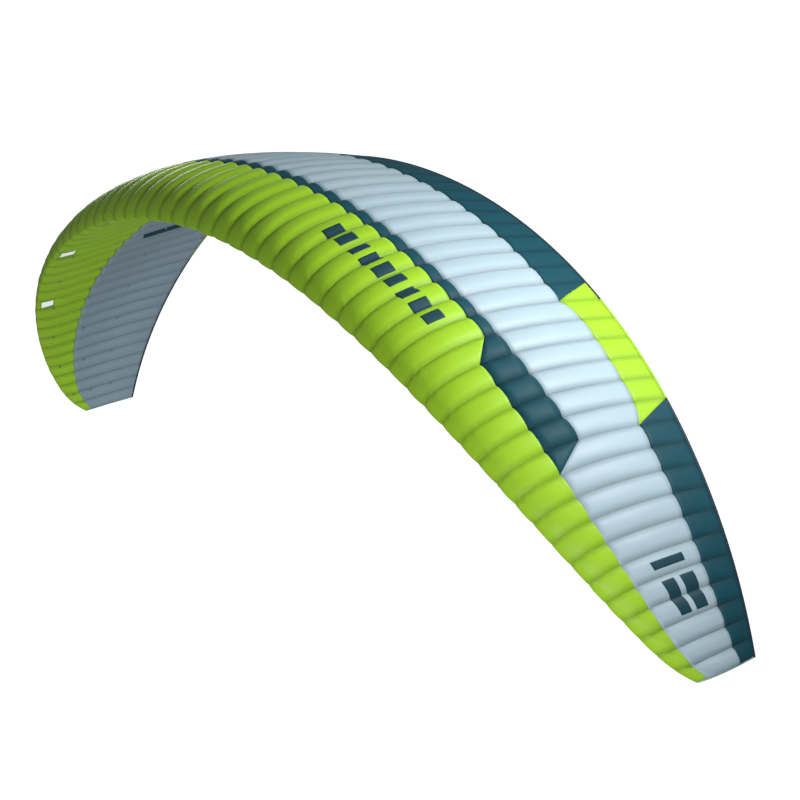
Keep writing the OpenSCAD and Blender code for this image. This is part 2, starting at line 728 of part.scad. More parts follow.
nose_panels_centre();
nose_panels_right();
nose_panels_left();
leading_stripe_centre();
leading_stripe_right();
leading_stripe_left();
top_panels_centre();
top_panels_right();
top_panels_left();
trailing_panels_centre();
trailing_panels_right();
trailing_panels_left();
trailing_insert_right();
trailing_insert_left();
lower_nose_centre();
lower_nose_right();
lower_nose_left();
lower_panels_centre();
lower_panels_right();
lower_panels_left();
tip_panel_right();
tip_panel_left();
plain_ribs_right();
plain_ribs_left();
load_ribs_right();
load_ribs_left();
nose_reinforcements_right();
nose_reinforcements_left();
diagonal_ribs_right();
diagonal_ribs_left();
tension_tapes();
trailing_edge_binding();
intake_frames();
intake_flap(1);  // intake_flap_right_1
intake_flap(2);  // intake_flap_right_2
intake_flap(3);  // intake_flap_right_3
intake_flap(4);  // intake_flap_right_4
mirror([1, 0, 0]) intake_flap(1);  // intake_flap_left_1
mirror([1, 0, 0]) intake_flap(2);  // intake_flap_left_2
mirror([1, 0, 0]) intake_flap(3);  // intake_flap_left_3
mirror([1, 0, 0]) intake_flap(4);  // intake_flap_left_4
loop_row(row_a_x);  // front_loops
loop_row(row_b_x);  // middle_loops
loop_row(row_c_x);  // rear_loops
loop_row(row_brake_x);  // brake_loops
zip_tape();
zip_coil();
zip_slider();
zip_pull();
tip_vent_flap();  // tip_vent_flap_right
mirror([1, 0, 0]) tip_vent_flap();  // tip_vent_flap_left
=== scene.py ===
"""Parafoil kite canopy: sewn cloth, ribs, valves, loops and zip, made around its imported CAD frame.

Lengths are metres in the frame's own axes: X runs along the span, the leading edge faces -Y and +Z is up.
A place on the wing is given as a rib number across the span, a share x of the chord and a face.
"""

import logging
import math
from dataclasses import dataclass, field
from enum import Enum
from functools import cached_property
from typing import Callable, Sequence

import bmesh
import bpy
import numpy as np
from mathutils import Matrix, Vector

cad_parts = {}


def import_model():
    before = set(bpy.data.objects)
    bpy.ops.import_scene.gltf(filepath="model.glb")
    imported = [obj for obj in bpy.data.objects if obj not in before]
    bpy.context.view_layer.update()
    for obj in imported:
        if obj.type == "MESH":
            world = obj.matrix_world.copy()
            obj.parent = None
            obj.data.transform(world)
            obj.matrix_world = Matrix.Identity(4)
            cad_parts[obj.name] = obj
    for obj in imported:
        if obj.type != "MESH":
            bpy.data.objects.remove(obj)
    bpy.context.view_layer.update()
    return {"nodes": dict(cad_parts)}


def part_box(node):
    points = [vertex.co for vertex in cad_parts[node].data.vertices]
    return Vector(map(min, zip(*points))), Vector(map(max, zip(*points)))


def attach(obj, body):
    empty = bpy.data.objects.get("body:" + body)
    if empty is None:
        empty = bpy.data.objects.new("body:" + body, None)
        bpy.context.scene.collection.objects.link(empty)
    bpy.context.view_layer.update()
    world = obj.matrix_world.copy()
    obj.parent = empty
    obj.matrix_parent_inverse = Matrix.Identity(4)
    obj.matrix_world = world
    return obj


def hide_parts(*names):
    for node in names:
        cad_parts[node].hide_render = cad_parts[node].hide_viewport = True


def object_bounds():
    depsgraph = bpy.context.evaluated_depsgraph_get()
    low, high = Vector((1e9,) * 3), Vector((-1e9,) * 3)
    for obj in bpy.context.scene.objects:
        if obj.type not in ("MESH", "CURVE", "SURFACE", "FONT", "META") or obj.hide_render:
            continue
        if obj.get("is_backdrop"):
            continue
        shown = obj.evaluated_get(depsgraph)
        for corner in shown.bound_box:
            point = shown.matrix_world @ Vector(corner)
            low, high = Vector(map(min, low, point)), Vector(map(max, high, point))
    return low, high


log = logging.getLogger("kite")
Array = np.ndarray
# cloth this far from a seam also gets no painted shade beside one
NO_SEAM = 0.05  # seam distance of cloth that shows no stitched edge

# thicknesses as drawn, grown inwards from the outer face
CLOTH_T = 0.0004
EDGE_TAPE_T = 0.0005
PRINT_T = 0.0006
WEBBING_T = 0.0008


class Face(Enum):
    """The two faces of the wing."""

    UPPER = "upper"
    LOWER = "lower"


class Section(Enum):
    """The three sewn sections of the wing."""

    CENTRE = "centre"
    RIGHT = "right"
    LEFT = "left"


# ---- Shape of the wing ---------------------------------------------------------------------


@dataclass(frozen=True)
class Wing:
    """Shape of the inflated wing, from the CAD model's driving sizes.

    They are metres, degrees and shares of the chord. zip_hold is the share of the billow that the zip takes
    from the middle cell, over the stretch zip_near. gather_* and dent_* are the small folds of the cloth:
    their pitches, their depths, how far behind the nose they fade, and the band beside a seam that they fill.
    """

    cells: int = 61
    half_span: float = 5.24
    centre_chord: float = 1.7
    tip_chord: float = 0.53
    planform_power: float = 3.3
    tip_sweep: float = 0.62
    sweep_power: float = 4.3
    tip_round: float = 0.09
    round_power: float = 40.0
    cell_taper: float = 0.18
    tip_angle: float = 71.4
    arc_even: float = 0.72
    arc_tip: float = 0.137
    tip_twist: float = 3.2
    thickness: float = 0.223
    lower_share: float = 0.2
    nose_round: float = 0.04
    camber: float = 0.03
    trailing_edge_h: float = 0.01
    binding_w: float = 0.008
    billow: float = 0.165
    fullness: float = 2.5
    nose_ramp: float = 0.2
    nose_swell: float = 0.2
    intake_cells: tuple[int, ...] = (1, 7, 13, 19)
    intake_front: float = 0.024
    intake_rear: float = 0.1
    intake_side: float = 0.18
    intake_fade: float = 0.038
    zip_near: tuple[float, float] = (0.9, 0.948)
    zip_hold: float = 0.65
    gather_pitch: tuple[float, float] = (0.0105, 0.0173)
    gather_depth: float = 0.0011
    gather_fade: float = 0.3
    gather_rest: float = 0.16
    gather_place: float = 0.014
    gather_spread: float = 0.016
    seam_flat: float = 0.006
    dent_pitch: float = 0.047
    dent_depth: float = 0.0012
    hem_x: float = 0.03
    taut_x: float = 0.15
    probe: float = 0.001
    spine_steps: int = 240

    @property
    def last_rib(self) -> float:
        """Rib number of the tips."""
        return self.cells / 2

    def station(self, rib: Array | float) -> Array:
        """Share of the half span, along the arc, at a rib number."""
        q = np.abs(np.asarray(rib, float)) / self.last_rib
        return (1 + self.cell_taper) * q - self.cell_taper * q**3

    def arc_angle(self, s: Array) -> Array:
        """Slope of the wing at a station, in radians below level."""
        even, tip = self.arc_even, self.arc_tip
        return math.radians(self.tip_angle) * (even * s + (1 - even - tip) * s**3 + tip * s**9)

    @cached_property
    def spine(self) -> tuple[Array, Array, Array]:
        """The arc, summed in short steps from the middle to a tip.

        Returns:
            Stations, and the X and Z of the arc at each of them.
        """
        middles = (np.arange(self.spine_steps) + 0.5) / self.spine_steps
        angle, step = self.arc_angle(middles), self.half_span / self.spine_steps
        xs = np.concatenate([[0.0], np.cumsum(np.cos(angle)) * step])
        zs = np.concatenate([[0.0], -np.cumsum(np.sin(angle)) * step])
        return np.linspace(0, 1, self.spine_steps + 1), xs, zs

    def chord(self, s: Array) -> Array:
        """Chord at a station."""
        plan = self.tip_chord + (self.centre_chord - self.tip_chord) * (1 - s**self.planform_power)
        return plan - self.tip_round * s**self.round_power

    def sweep(self, s: Array) -> Array:
        """How far the leading edge lies behind the middle's at a station."""
        return self.tip_sweep * s**self.sweep_power + self.tip_round * s**self.round_power

    def profile_z(self, x: Array, face: Face, edge: Array) -> Array:
        """Height of the profile over the chord: a four-digit section with a flattened underside.

        Args:
            x: Share of the chord.
            face: Face of the wing.
            edge: Half the trailing edge's height over the chord.

        Returns:
            Heights, 0 on the line between the edges.
        """
        half = 5 * self.thickness * (
            0.2969 * np.sqrt(x) - 0.126 * x - 0.3516 * x**2 + 0.2843 * x**3 - 0.1036 * x**4
        )
        line = 4 * self.camber * x * (1 - x) * (1 - 0.6 * x)
        if face is Face.UPPER:
            return line + half + edge * x
        return line - self.lower_share * half - self.nose_round * np.sqrt(x) * (1 - x) ** 4 - edge * x

    def profile_normal(self, x: Array, face: Face, edge: Array) -> tuple[Array, Array]:
        """Outward direction of the profile in the plane of a rib.

        Args:
            x: Share of the chord.
            face: Face of the wing.
            edge: Half the trailing edge's height over the chord.

        Returns:
            Its parts along the chord and up.
        """
        gap = np.clip(x / 2, 1e-7, 0.002)
        low, high = np.maximum(x - gap, 0), np.minimum(x + gap, 1)
        rise = self.profile_z(high, face, edge) - self.profile_z(low, face, edge)
        run = high - low
        along, up = (-rise, run) if face is Face.UPPER else (rise, -run)
        long = np.hypot(along, up)
        nose = x <= 1e-6
        return np.where(nose, -1.0, along / long), np.where(nose, 0.0, up / long)

    def rib_points(self, rib: Array, x: Array, face: Face, depth: Array | float = 0.0) -> Array:
        """Points in the planes of ribs.

        Args:
            rib: Rib numbers, negative on the left.
            x: Shares of the chord.
            face: Face of the wing.
            depth: How far below the outer face, in metres.

        Returns:
            Points in the frame's axes, one a row.
        """
        return self.place(rib, *self.profile_points(rib, x, face, depth))

    def profile_points(
        self, rib: Array, x: Array, face: Face, depth: Array | float = 0.0
    ) -> tuple[Array, Array]:
        """Points of the profile in the planes of ribs.

        Args:
            rib: Rib numbers, negative on the left.
            x: Shares of the chord.
            face: Face of the wing.
            depth: How far below the outer face, in metres.

        Returns:
            How far back the points are, and how far up.
        """
        rib, x = np.broadcast_arrays(np.asarray(rib, float), np.asarray(x, float))
        s = self.station(rib)
        chord, twist = self.chord(s), -math.radians(self.tip_twist) * s**2
        edge = self.trailing_edge_h / 2 / chord
        along, up = self.profile_normal(x, face, edge)
        y = x * chord - along * depth
        z = self.profile_z(x, face, edge) * chord - up * depth
        return y * np.cos(twist) - z * np.sin(twist), y * np.sin(twist) + z * np.cos(twist)

    def place(self, rib: Array, back: Array, up: Array, out: Array | float = 0.0) -> Array:
        """Puts points of a rib's plane, or of one that lies out towards the tip from it, in space.

        Args:
            rib: Rib numbers, negative on the left.
            back: How far back the points are.
            up: How far up they are.
            out: How far the plane lies out from the rib's own.

        Returns:
            Points in the frame's axes, one a row.
        """
        s = self.station(rib)
        arc = self.arc_angle(s)
        stations, xs, zs = self.spine
        side = np.where(np.asarray(rib) < 0, -1.0, 1.0)
        across = np.interp(s, stations, xs) + up * np.sin(arc) + out * np.cos(arc)
        height = np.interp(s, stations, zs) + up * np.cos(arc) - out * np.sin(arc)
        axes = np.broadcast_arrays(side * across, self.sweep(s) + back, height)
        return np.stack(axes, axis=-1) + self.shift

    @cached_property
    def shift(self) -> Array:
        """From the profile's own axes to the frame's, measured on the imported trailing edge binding.

        Returns:
            The shift in metres.
        """
        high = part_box("trailing_edge_binding")[1]
        s = self.station(0.5)
        back, up = self.profile_points(0.5, 1.0, Face.UPPER)
        stations, _, zs = self.spine
        top = np.interp(s, stations, zs) + up * math.cos(self.arc_angle(s))
        return np.array([0.0, high.y - back - self.sweep(s) - self.binding_w, high.z - top])

    @cached_property
    def cell_widths(self) -> Array:
        """Width of each cell at its leading edge.

        Returns:
            Widths, from the middle cell outwards.
        """
        ribs = np.arange(self.cells // 2 + 2) - 0.5
        nose = self.rib_points(ribs, np.zeros_like(ribs), Face.UPPER)
        return np.linalg.norm(np.diff(nose, axis=0), axis=1)

    def profile_length(self, x: Array, face: Face) -> Array:
        """Length along the profile, over the chord.

        Args:
            x: Shares of the chord.
            face: Face of the wing.

        Returns:
            Lengths from the leading edge to x.
        """
        fine = np.linspace(0, 1, 400) ** 2
        z = self.profile_z(fine, face, np.zeros(400))
        run = np.concatenate([[0.0], np.cumsum(np.hypot(np.diff(fine), np.diff(z)))])
        return np.interp(x, fine, run)

    def swell(self, cell: Array, x: Array, face: Face) -> Array:
        """Share of the full billow: none at the trailing edge or across an air intake, little at the zip.

        Args:
            cell: Cell numbers, 0 in the middle.
            x: Shares of the chord.
            face: Face of the wing.

        Returns:
            Shares, 0 to 1.
        """
        ramp = np.clip(x / self.nose_ramp, 0, 1)
        full = (self.nose_swell + (1 - self.nose_swell) * ramp * (2 - ramp)) * (1 - x**3)
        if face is Face.UPPER:
            return full
        near = np.clip((x - self.zip_near[0]) / (self.zip_near[1] - self.zip_near[0]), 0, 1)
        full = full * np.where(cell == 0, 1 - self.zip_hold * near**2 * (3 - 2 * near), 1.0)
        flat = np.clip((x - self.intake_rear) / self.intake_fade, 0, 1)
        flat = np.where(x < self.intake_front, 1 - x / self.intake_front, flat)
        return full * np.where(np.isin(cell, self.intake_cells), flat, 1.0)

    def cloth(
        self, cell: Array, u: Array, x: tuple[Array, Array], face: Face, lift: float = 0.0
    ) -> Array:
        """Points of the billowed cloth of right-hand cells.

        Args:
            cell: Cell numbers, 0 in the middle.
            u: Place across the cell, 0 at its inner rib and 1 at its outer one.
            x: Shares of the chord at the inner and at the outer rib.
            face: Face of the wing.
            lift: Distance outside the cloth's outer face, in metres.

        Returns:
            Points, one a row.
        """
        inner = self.rib_points(cell - 0.5, x[0], face)
        outer = self.rib_points(cell + 0.5, x[1], face)
        out = self.rib_points(cell - 0.5, x[0], face, -self.probe) - inner
        out = out + self.rib_points(cell + 0.5, x[1], face, -self.probe) - outer
        out = out / np.linalg.norm(out, axis=1)[:, None]
        middle = x[0] + (x[1] - x[0]) * u
        width = self.cell_widths[cell]
        across = 1 - np.abs(2 * u - 1) ** self.fullness
        rise = self.billow * width * self.swell(cell, middle, face) * across
        rise = rise + self.pucker(cell, u, middle, face) + lift
        return inner + (outer - inner) * u[:, None] + out * rise[:, None]

    def pucker(self, cell: Array, u: Array, x: Array, face: Face) -> Array:
        """Small gathers beside the seams, strongest round the nose, and slow dents over the panel.

        Args:
            cell: Cell numbers, 0 in the middle.
            u: Place across the cell, 0 at its inner rib and 1 at its outer one.
            x: Shares of the chord.
            face: Face of the wing.

        Returns:
            Rises of the cloth in metres.
        """
        width = self.cell_widths[cell]
        run = self.profile_length(x, face) * self.chord(self.station(cell))
        along = run if face is Face.UPPER else -run
        seam = np.minimum(u, 1 - u) * width
        side = np.where(u < 0.5, 0.0, 1.0)
        # the phases only keep one cell's folds from repeating in the next
        phase = cell * 2.39996 + side * 1.7
        short, long = self.gather_pitch
        gathers = np.sin(along / short + 5.1 * np.sin(phase))
        gathers = gathers + 0.7 * np.sin(along / long + 7.3 * np.cos(phase))
        near_nose = np.exp(-((run / self.gather_fade) ** 2)) + self.gather_rest
        band = np.exp(-(((seam - self.gather_place) / self.gather_spread) ** 2))
        beside = band * np.minimum(1, seam / self.seam_flat)
        dents = np.sin(along / self.dent_pitch + 3.0 * np.sin(cell * 1.3)) * np.sin(u * math.pi) ** 2
        framed = (face is Face.LOWER) & np.isin(cell, self.intake_cells) & (x < self.taut_x)
        hem = np.clip((1 - x) / self.hem_x, 0, 1)
        folds = self.gather_depth * gathers * near_nose * beside + self.dent_depth * dents * near_nose
        return folds * np.where(framed, 0.0, 1.0) * hem


@dataclass(frozen=True)
class Layout:
    """Edges of the colour blocks, as shares of the chord at rib m (0 beside the middle)."""

    wing: Wing
    outer_nose_x: float = 0.282
    outer_nose_shift: float = 0.17
    inner_nose_x: float = 0.342
    stripe_x: float = 0.386
    stripe_shift: float = 0.03
    trailing_x: float = 0.818
    trailing_shift: float = 0.153
    insert_setback: float = 0.038
    lower_nose_x: float = 0.456
    lower_nose_shift: float = 0.318
    stripe_last: int = 14
    patch_last: int = 19
    insert_first: int = 13
    insert_last: int = 19
    section_last: int = 10

    def share(self, m: int) -> float:
        """Rib m's place over the half span's ribs."""
        return (m + 0.5) / self.wing.last_rib

    def nose(self, _cell: int, m: int) -> float:
        """Rear edge of the lime nose panels."""
        outer = self.outer_nose_x - self.outer_nose_shift * self.share(m) ** 2
        return self.inner_nose_x if m <= self.stripe_last else outer

    def stripe(self, cell: int, m: int) -> float:
        """Rear edge of the leading stripe, which runs out to a point."""
        inner = self.stripe_x + self.stripe_shift * self.share(m) ** 2
        return inner if m <= self.patch_last else self.nose(cell, m)

    def trailing(self, _cell: int, m: int) -> float:
        """Front edge of the rear panels."""
        back = self.insert_setback if self.insert_first < m < self.insert_last else 0.0
        return self.trailing_x - self.trailing_shift * self.share(m) ** 2 + back

    def insert_cut(self, cell: int, m: int) -> float:
        """Diagonal end of the rear insert in its first and last cells."""
        return 1.0 if m < cell else self.trailing(cell, m)

    def lower(self, _cell: int, m: int) -> float:
        """Rear edge of the lower nose panels."""
        return self.lower_nose_x - self.lower_nose_shift * self.share(m) ** 2

    def front(self, _cell: int, _m: int) -> float:
        """The leading edge."""
        return 0.0

    def rear(self, _cell: int, _m: int) -> float:
        """The trailing edge."""
        return 1.0


# ---- Materials -----------------------------------------------------------------------------


def linear(code: str) -> tuple[float, float, float, float]:
    """Turns an sRGB colour into a linear one.

    Args:
        code: Hex code, such as "#a6d82f".

    Returns:
        Linear red, green, blue and alpha.
    """
    parts = [int(code[i : i + 2], 16) / 255 for i in (1, 3, 5)]
    red, green, blue = (p / 12.92 if p <= 0.04045 else ((p + 0.055) / 1.055) ** 2.4 for p in parts)
    return red, green, blue, 1.0


def add(
    tree: bpy.types.NodeTree, kind: str, links: dict | None = None, **settings: object
) -> bpy.types.Node:
    """Adds a node.

    Args:
        tree: The material's node tree.
        kind: Node type, such as "ShaderNodeMath".
        links: Input name or index to a value, or to the output socket that feeds it.
        settings: The node's own settings.

    Returns:
        The node.
    """
    node = tree.nodes.new(kind)
    for key, value in settings.items():
        setattr(node, key, value)
    for key, value in (links or {}).items():
        if isinstance(value, bpy.types.NodeSocket):
            tree.links.new(value, node.inputs[key])
        else:
            node.inputs[key].default_value = value
    return node


@dataclass(frozen=True)
class Finish:
    """What every finish has: a name, a colour and how it shines."""

    name: str
    colour: str
    roughness: float = 0.5
    ior: float = 1.5
    specular: float = 0.5
    metallic: float = 0.0
    sheen: float = 0.0
    coat: float = 0.0
    glow: float = 0.0

    def build(self) -> bpy.types.Material:
        """Makes the material: the shader, fed by the finish's own pattern.

        Returns:
            The material.
        """
        material = bpy.data.materials.new(self.name)
        material.use_nodes = True
        tree = material.node_tree
        tree.nodes.clear()
        shader = add(tree, "ShaderNodeBsdfPrincipled")
        for socket, value in (
            ("IOR", self.ior),
            ("Specular IOR Level", self.specular),
            ("Metallic", self.metallic),
            ("Sheen Weight", self.sheen),
            ("Coat Weight", self.coat),
            ("Emission Strength", self.glow),
            ("Roughness", self.roughness),
        ):
            shader.inputs[socket].default_value = value
        colour, roughness, normal = self.pattern(tree)
        for socket, source in (("Base Color", colour), ("Roughness", roughness), ("Normal", normal)):
            if source is not None:
                tree.links.new(source, shader.inputs[socket])
        add(tree, "ShaderNodeOutputMaterial", {"Surface": shader.outputs[0]})
        return material

    def pattern(self, tree: bpy.types.NodeTree) -> tuple:
        """Sockets for the colour, the roughness and the normal; None leaves the shader's own value."""
        raise NotImplementedError

    def mottle(
        self, tree: bpy.types.NodeTree, place: bpy.types.NodeSocket, size: float, spread: float
    ) -> tuple:
        """The colour, lighter and darker in soft patches.

        Args:
            tree: The material's node tree.
            place: Coordinates in metres.
            size: Size of the patches in metres.
            spread: How far the brightness swings.

        Returns:
            The colour socket and the noise socket.
        """
        noise = add(tree, "ShaderNodeTexNoise", {"Vector": place, "Scale": 1 / size, "Detail": 3.0})
        level = add(tree, "ShaderNodeMapRange", {"Value": noise.outputs["Fac"], 3: 1 - spread, 4: 1 + spread})
        value = {"Value": level.outputs[0], "Color": linear(self.colour)}
        colour = add(tree, "ShaderNodeHueSaturation", value)
        return colour.outputs[0], noise.outputs["Fac"]


@dataclass(frozen=True)
class Ripstop(Finish):
    """Silicone-coated ripstop nylon, woven: a satin skin, a raised grid of thicker threads, sewn seams.

    Its grid is 5 mm on the real cloth and is drawn 12 mm wide, or it would not show. It is laid out on the
    piece's own UV map, in metres from the cell's rib and from the leading edge. thread is a thread's share
    of the grid, the shade band where the painted shade beside a rib is darkest and where it ends, stitch_row
    half the gap between the two rows of stitches, and stitch half a stitch's pitch.
    """

    grid: float = 0.012
    thread: float = 0.07
    thread_shade: float = 0.9
    crease_lift: float = 5.0
    stitch_lift: float = 1.6
    bump_height: float = 0.0006
    # painted shade: the colour is darkened to this share beside each rib, over the band below, for the shaded
    # valley between two billows
    painted_seam_shade: float = 0.72
    painted_shade_band: tuple[float, float] = (0.003, 0.04)
    stitch_row: float = 0.003
    stitch: float = 0.002
    shine_swing: float = 0.07

    def pattern(self, tree: bpy.types.NodeTree) -> tuple:
        """Grid, seam allowance, stitches and fine creases of sewn cloth.

        Args:
            tree: The material's node tree.

        Returns:
            Sockets for the colour, the roughness and the normal.
        """
        uv = add(tree, "ShaderNodeUVMap", uv_map="cloth")
        place = add(tree, "ShaderNodeTexCoord").outputs["Object"]
        colour, _ = self.mottle(tree, place, 0.35, 0.05)
        scaled = {0: uv.outputs[0], "Scale": 1 / self.grid}
        cell = add(tree, "ShaderNodeVectorMath", scaled, operation="SCALE")
        within = add(tree, "ShaderNodeVectorMath", {0: cell.outputs[0]}, operation="FRACTION")
        axes = add(tree, "ShaderNodeSeparateXYZ", {0: within.outputs[0]})
        weft = add(tree, "ShaderNodeMath", {0: axes.outputs[0], 1: self.thread}, operation="LESS_THAN")
        warp = add(tree, "ShaderNodeMath", {0: axes.outputs[1], 1: self.thread}, operation="LESS_THAN")
        threads = add(tree, "ShaderNodeMath", {0: weft.outputs[0], 1: warp.outputs[0]}, operation="MAXIMUM")
        # painted shade: the cloth is darkened over the last 4 cm beside each rib, as if the valley between
        # two billows lay in shade; only the first millimetres stand for the doubled seam allowance
        seam = add(tree, "ShaderNodeAttribute", attribute_name="seam").outputs["Fac"]
        near, far = self.painted_shade_band
        band = add(tree, "ShaderNodeMapRange", {"Value": seam, 1: near, 2: far, 3: self.painted_seam_shade, 4: 1.0})
        shade = add(tree, "ShaderNodeMapRange", {"Value": threads.outputs[0], 3: 1.0, 4: self.thread_shade})
        for factor in (band, shade):
            layers = {0: 1.0, 6: colour, 7: factor.outputs[0]}
            colour = add(tree, "ShaderNodeMix", layers, data_type="RGBA", blend_type="MULTIPLY").outputs[2]
        # two rows of lockstitch, 3 and 9 mm from the rib, with a stitch every 4 mm
        run = add(tree, "ShaderNodeSeparateXYZ", {0: uv.outputs[0]})
        rows = add(tree, "ShaderNodeMath", {0: seam, 1: self.stitch_row}, operation="PINGPONG")
        on_row = add(tree, "ShaderNodeMath", {0: rows.outputs[0], 1: 0.0022}, operation="GREATER_THAN")
        beside = add(tree, "ShaderNodeMath", {0: seam, 1: 0.0095}, operation="LESS_THAN")
        diagonal = add(tree, "ShaderNodeMath", {0: run.outputs[0], 1: run.outputs[1]}, operation="ADD")
        step = add(tree, "ShaderNodeMath", {0: diagonal.outputs[0], 1: self.stitch}, operation="PINGPONG")
        on_stitch = add(tree, "ShaderNodeMath", {0: step.outputs[0], 1: 0.0006}, operation="GREATER_THAN")
        stitch = on_row
        for mask in (beside, on_stitch):
            both = {0: stitch.outputs[0], 1: mask.outputs[0]}
            stitch = add(tree, "ShaderNodeMath", both, operation="MULTIPLY")
        wrinkle = {"Vector": place, "Scale": 26.0, "Detail": 4.0, "Roughness": 0.55, "Distortion": 0.8}
        creases = add(tree, "ShaderNodeTexNoise", wrinkle).outputs["Fac"]
        height = threads.outputs[0]
        for relief, lift in ((creases, self.crease_lift), (stitch.outputs[0], self.stitch_lift)):
            layers = {0: relief, 1: lift, 2: height}
            height = add(tree, "ShaderNodeMath", layers, operation="MULTIPLY_ADD").outputs[0]
        relief = {"Height": height, "Distance": self.bump_height, "Strength": 0.5}
        bump = add(tree, "ShaderNodeBump", relief)
        low, high = self.roughness - self.shine_swing, self.roughness + self.shine_swing
        shine = add(tree, "ShaderNodeMapRange", {"Value": creases, 3: low, 4: high})
        return colour, shine.outputs[0], bump.outputs[0]


@dataclass(frozen=True)
class WovenTape(Finish):
    """Polyester tape or webbing, plain woven: matt, with ribs of thread across it."""

    rib: float = 0.0016

    def pattern(self, tree: bpy.types.NodeTree) -> tuple:
        """Crossing ribs of thread on the object's own coordinates.

        Args:
            tree: The material's node tree.

        Returns:
            Sockets for the colour, the roughness and the normal.
        """
        place = add(tree, "ShaderNodeTexCoord").outputs["Object"]
        colour, fibres = self.mottle(tree, place, 0.004, 0.16)
        # a wave texture of scale 0.314 repeats once a metre
        thread = {"Vector": place, "Scale": 0.314 / self.rib, "Distortion": 0.3}
        bands = [
            add(tree, "ShaderNodeTexWave", thread, bands_direction=axis).outputs["Fac"]
            for axis in ("Y", "DIAGONAL")
        ]
        weave = add(tree, "ShaderNodeMath", {0: bands[0], 1: bands[1]}, operation="MULTIPLY")
        relief = {"Height": weave.outputs[0], "Distance": self.rib / 3, "Strength": 0.7}
        bump = add(tree, "ShaderNodeBump", relief)
        low, high = self.roughness - 0.08, self.roughness + 0.08
        shine = add(tree, "ShaderNodeMapRange", {"Value": fibres, 3: low, 4: high})
        return colour, shine.outputs[0], bump.outputs[0]


@dataclass(frozen=True)
class Film(Finish):
    """Polyester film, rolled: smooth and glossy, with slow waves from handling."""

    def pattern(self, tree: bpy.types.NodeTree) -> tuple:
        """Slow waves and faint scuffs.

        Args:
            tree: The material's node tree.

        Returns:
            Sockets for the colour, the roughness and the normal.
        """
        place = add(tree, "ShaderNodeTexCoord").outputs["Object"]
        colour, scuff = self.mottle(tree, place, 0.03, 0.04)
        waves = add(tree, "ShaderNodeTexNoise", {"Vector": place, "Scale": 12.0, "Detail": 2.0})
        relief = {"Height": waves.outputs["Fac"], "Distance": 0.002, "Strength": 0.4}
        bump = add(tree, "ShaderNodeBump", relief)
        shine = add(tree, "ShaderNodeMapRange", {"Value": scuff, 3: self.roughness, 4: self.roughness + 0.15})
        return colour, shine.outputs[0], bump.outputs[0]


@dataclass(frozen=True)
class Moulded(Finish):
    """Nylon, moulded: an even satin surface with a fine grain."""

    grain: float = 0.0006

    def pattern(self, tree: bpy.types.NodeTree) -> tuple:
        """Fine grain of the mould.

        Args:
            tree: The material's node tree.

        Returns:
            Sockets for the colour, the roughness and the normal.
        """
        place = add(tree, "ShaderNodeTexCoord").outputs["Object"]
        colour, _ = self.mottle(tree, place, 0.01, 0.05)
        speck = {"Vector": place, "Scale": 1 / self.grain, "Detail": 2.0}
        grain = add(tree, "ShaderNodeTexNoise", speck).outputs["Fac"]
        bump = add(tree, "ShaderNodeBump", {"Height": grain, "Distance": 0.0001, "Strength": 0.5})
        low, high = self.roughness - 0.05, self.roughness + 0.08
        shine = add(tree, "ShaderNodeMapRange", {"Value": grain, 3: low, 4: high})
        return colour, shine.outputs[0], bump.outputs[0]


@dataclass(frozen=True)
class CastZinc(Finish):
    """Zinc alloy, die-cast and tumbled: bright metal with short scratches and a mottled polish."""

    def pattern(self, tree: bpy.types.NodeTree) -> tuple:
        """Short scratches along the slider and a mottled polish.

        Args:
            tree: The material's node tree.

        Returns:
            Sockets for the colour, the roughness and the normal.
        """
        place = add(tree, "ShaderNodeTexCoord").outputs["Object"]
        colour, _ = self.mottle(tree, place, 0.004, 0.08)
        stretched = add(tree, "ShaderNodeMapping", {"Vector": place, "Scale": (1.0, 14.0, 14.0)})
        mark = {"Vector": stretched.outputs[0], "Scale": 180.0, "Detail": 3.0}
        scratch = add(tree, "ShaderNodeTexNoise", mark).outputs["Fac"]
        bump = add(tree, "ShaderNodeBump", {"Height": scratch, "Distance": 0.0001, "Strength": 0.4})
        low, high = self.roughness - 0.1, self.roughness + 0.15
        shine = add(tree, "ShaderNodeMapRange", {"Value": scratch, 3: low, 4: high})
        return colour, shine.outputs[0], bump.outputs[0]


@dataclass(frozen=True)
class Seamless(Finish):
    """Painted studio floor, rolled: an even matt white."""

    def pattern(self, tree: bpy.types.NodeTree) -> tuple:
        """A faint unevenness of the paint.

        Args:
            tree: The material's node tree.

        Returns:
            Sockets for the colour, the roughness and the normal.
        """
        place = add(tree, "ShaderNodeTexCoord").outputs["Object"]
        colour, _ = self.mottle(tree, place, 3.0, 0.01)
        return colour, None, None


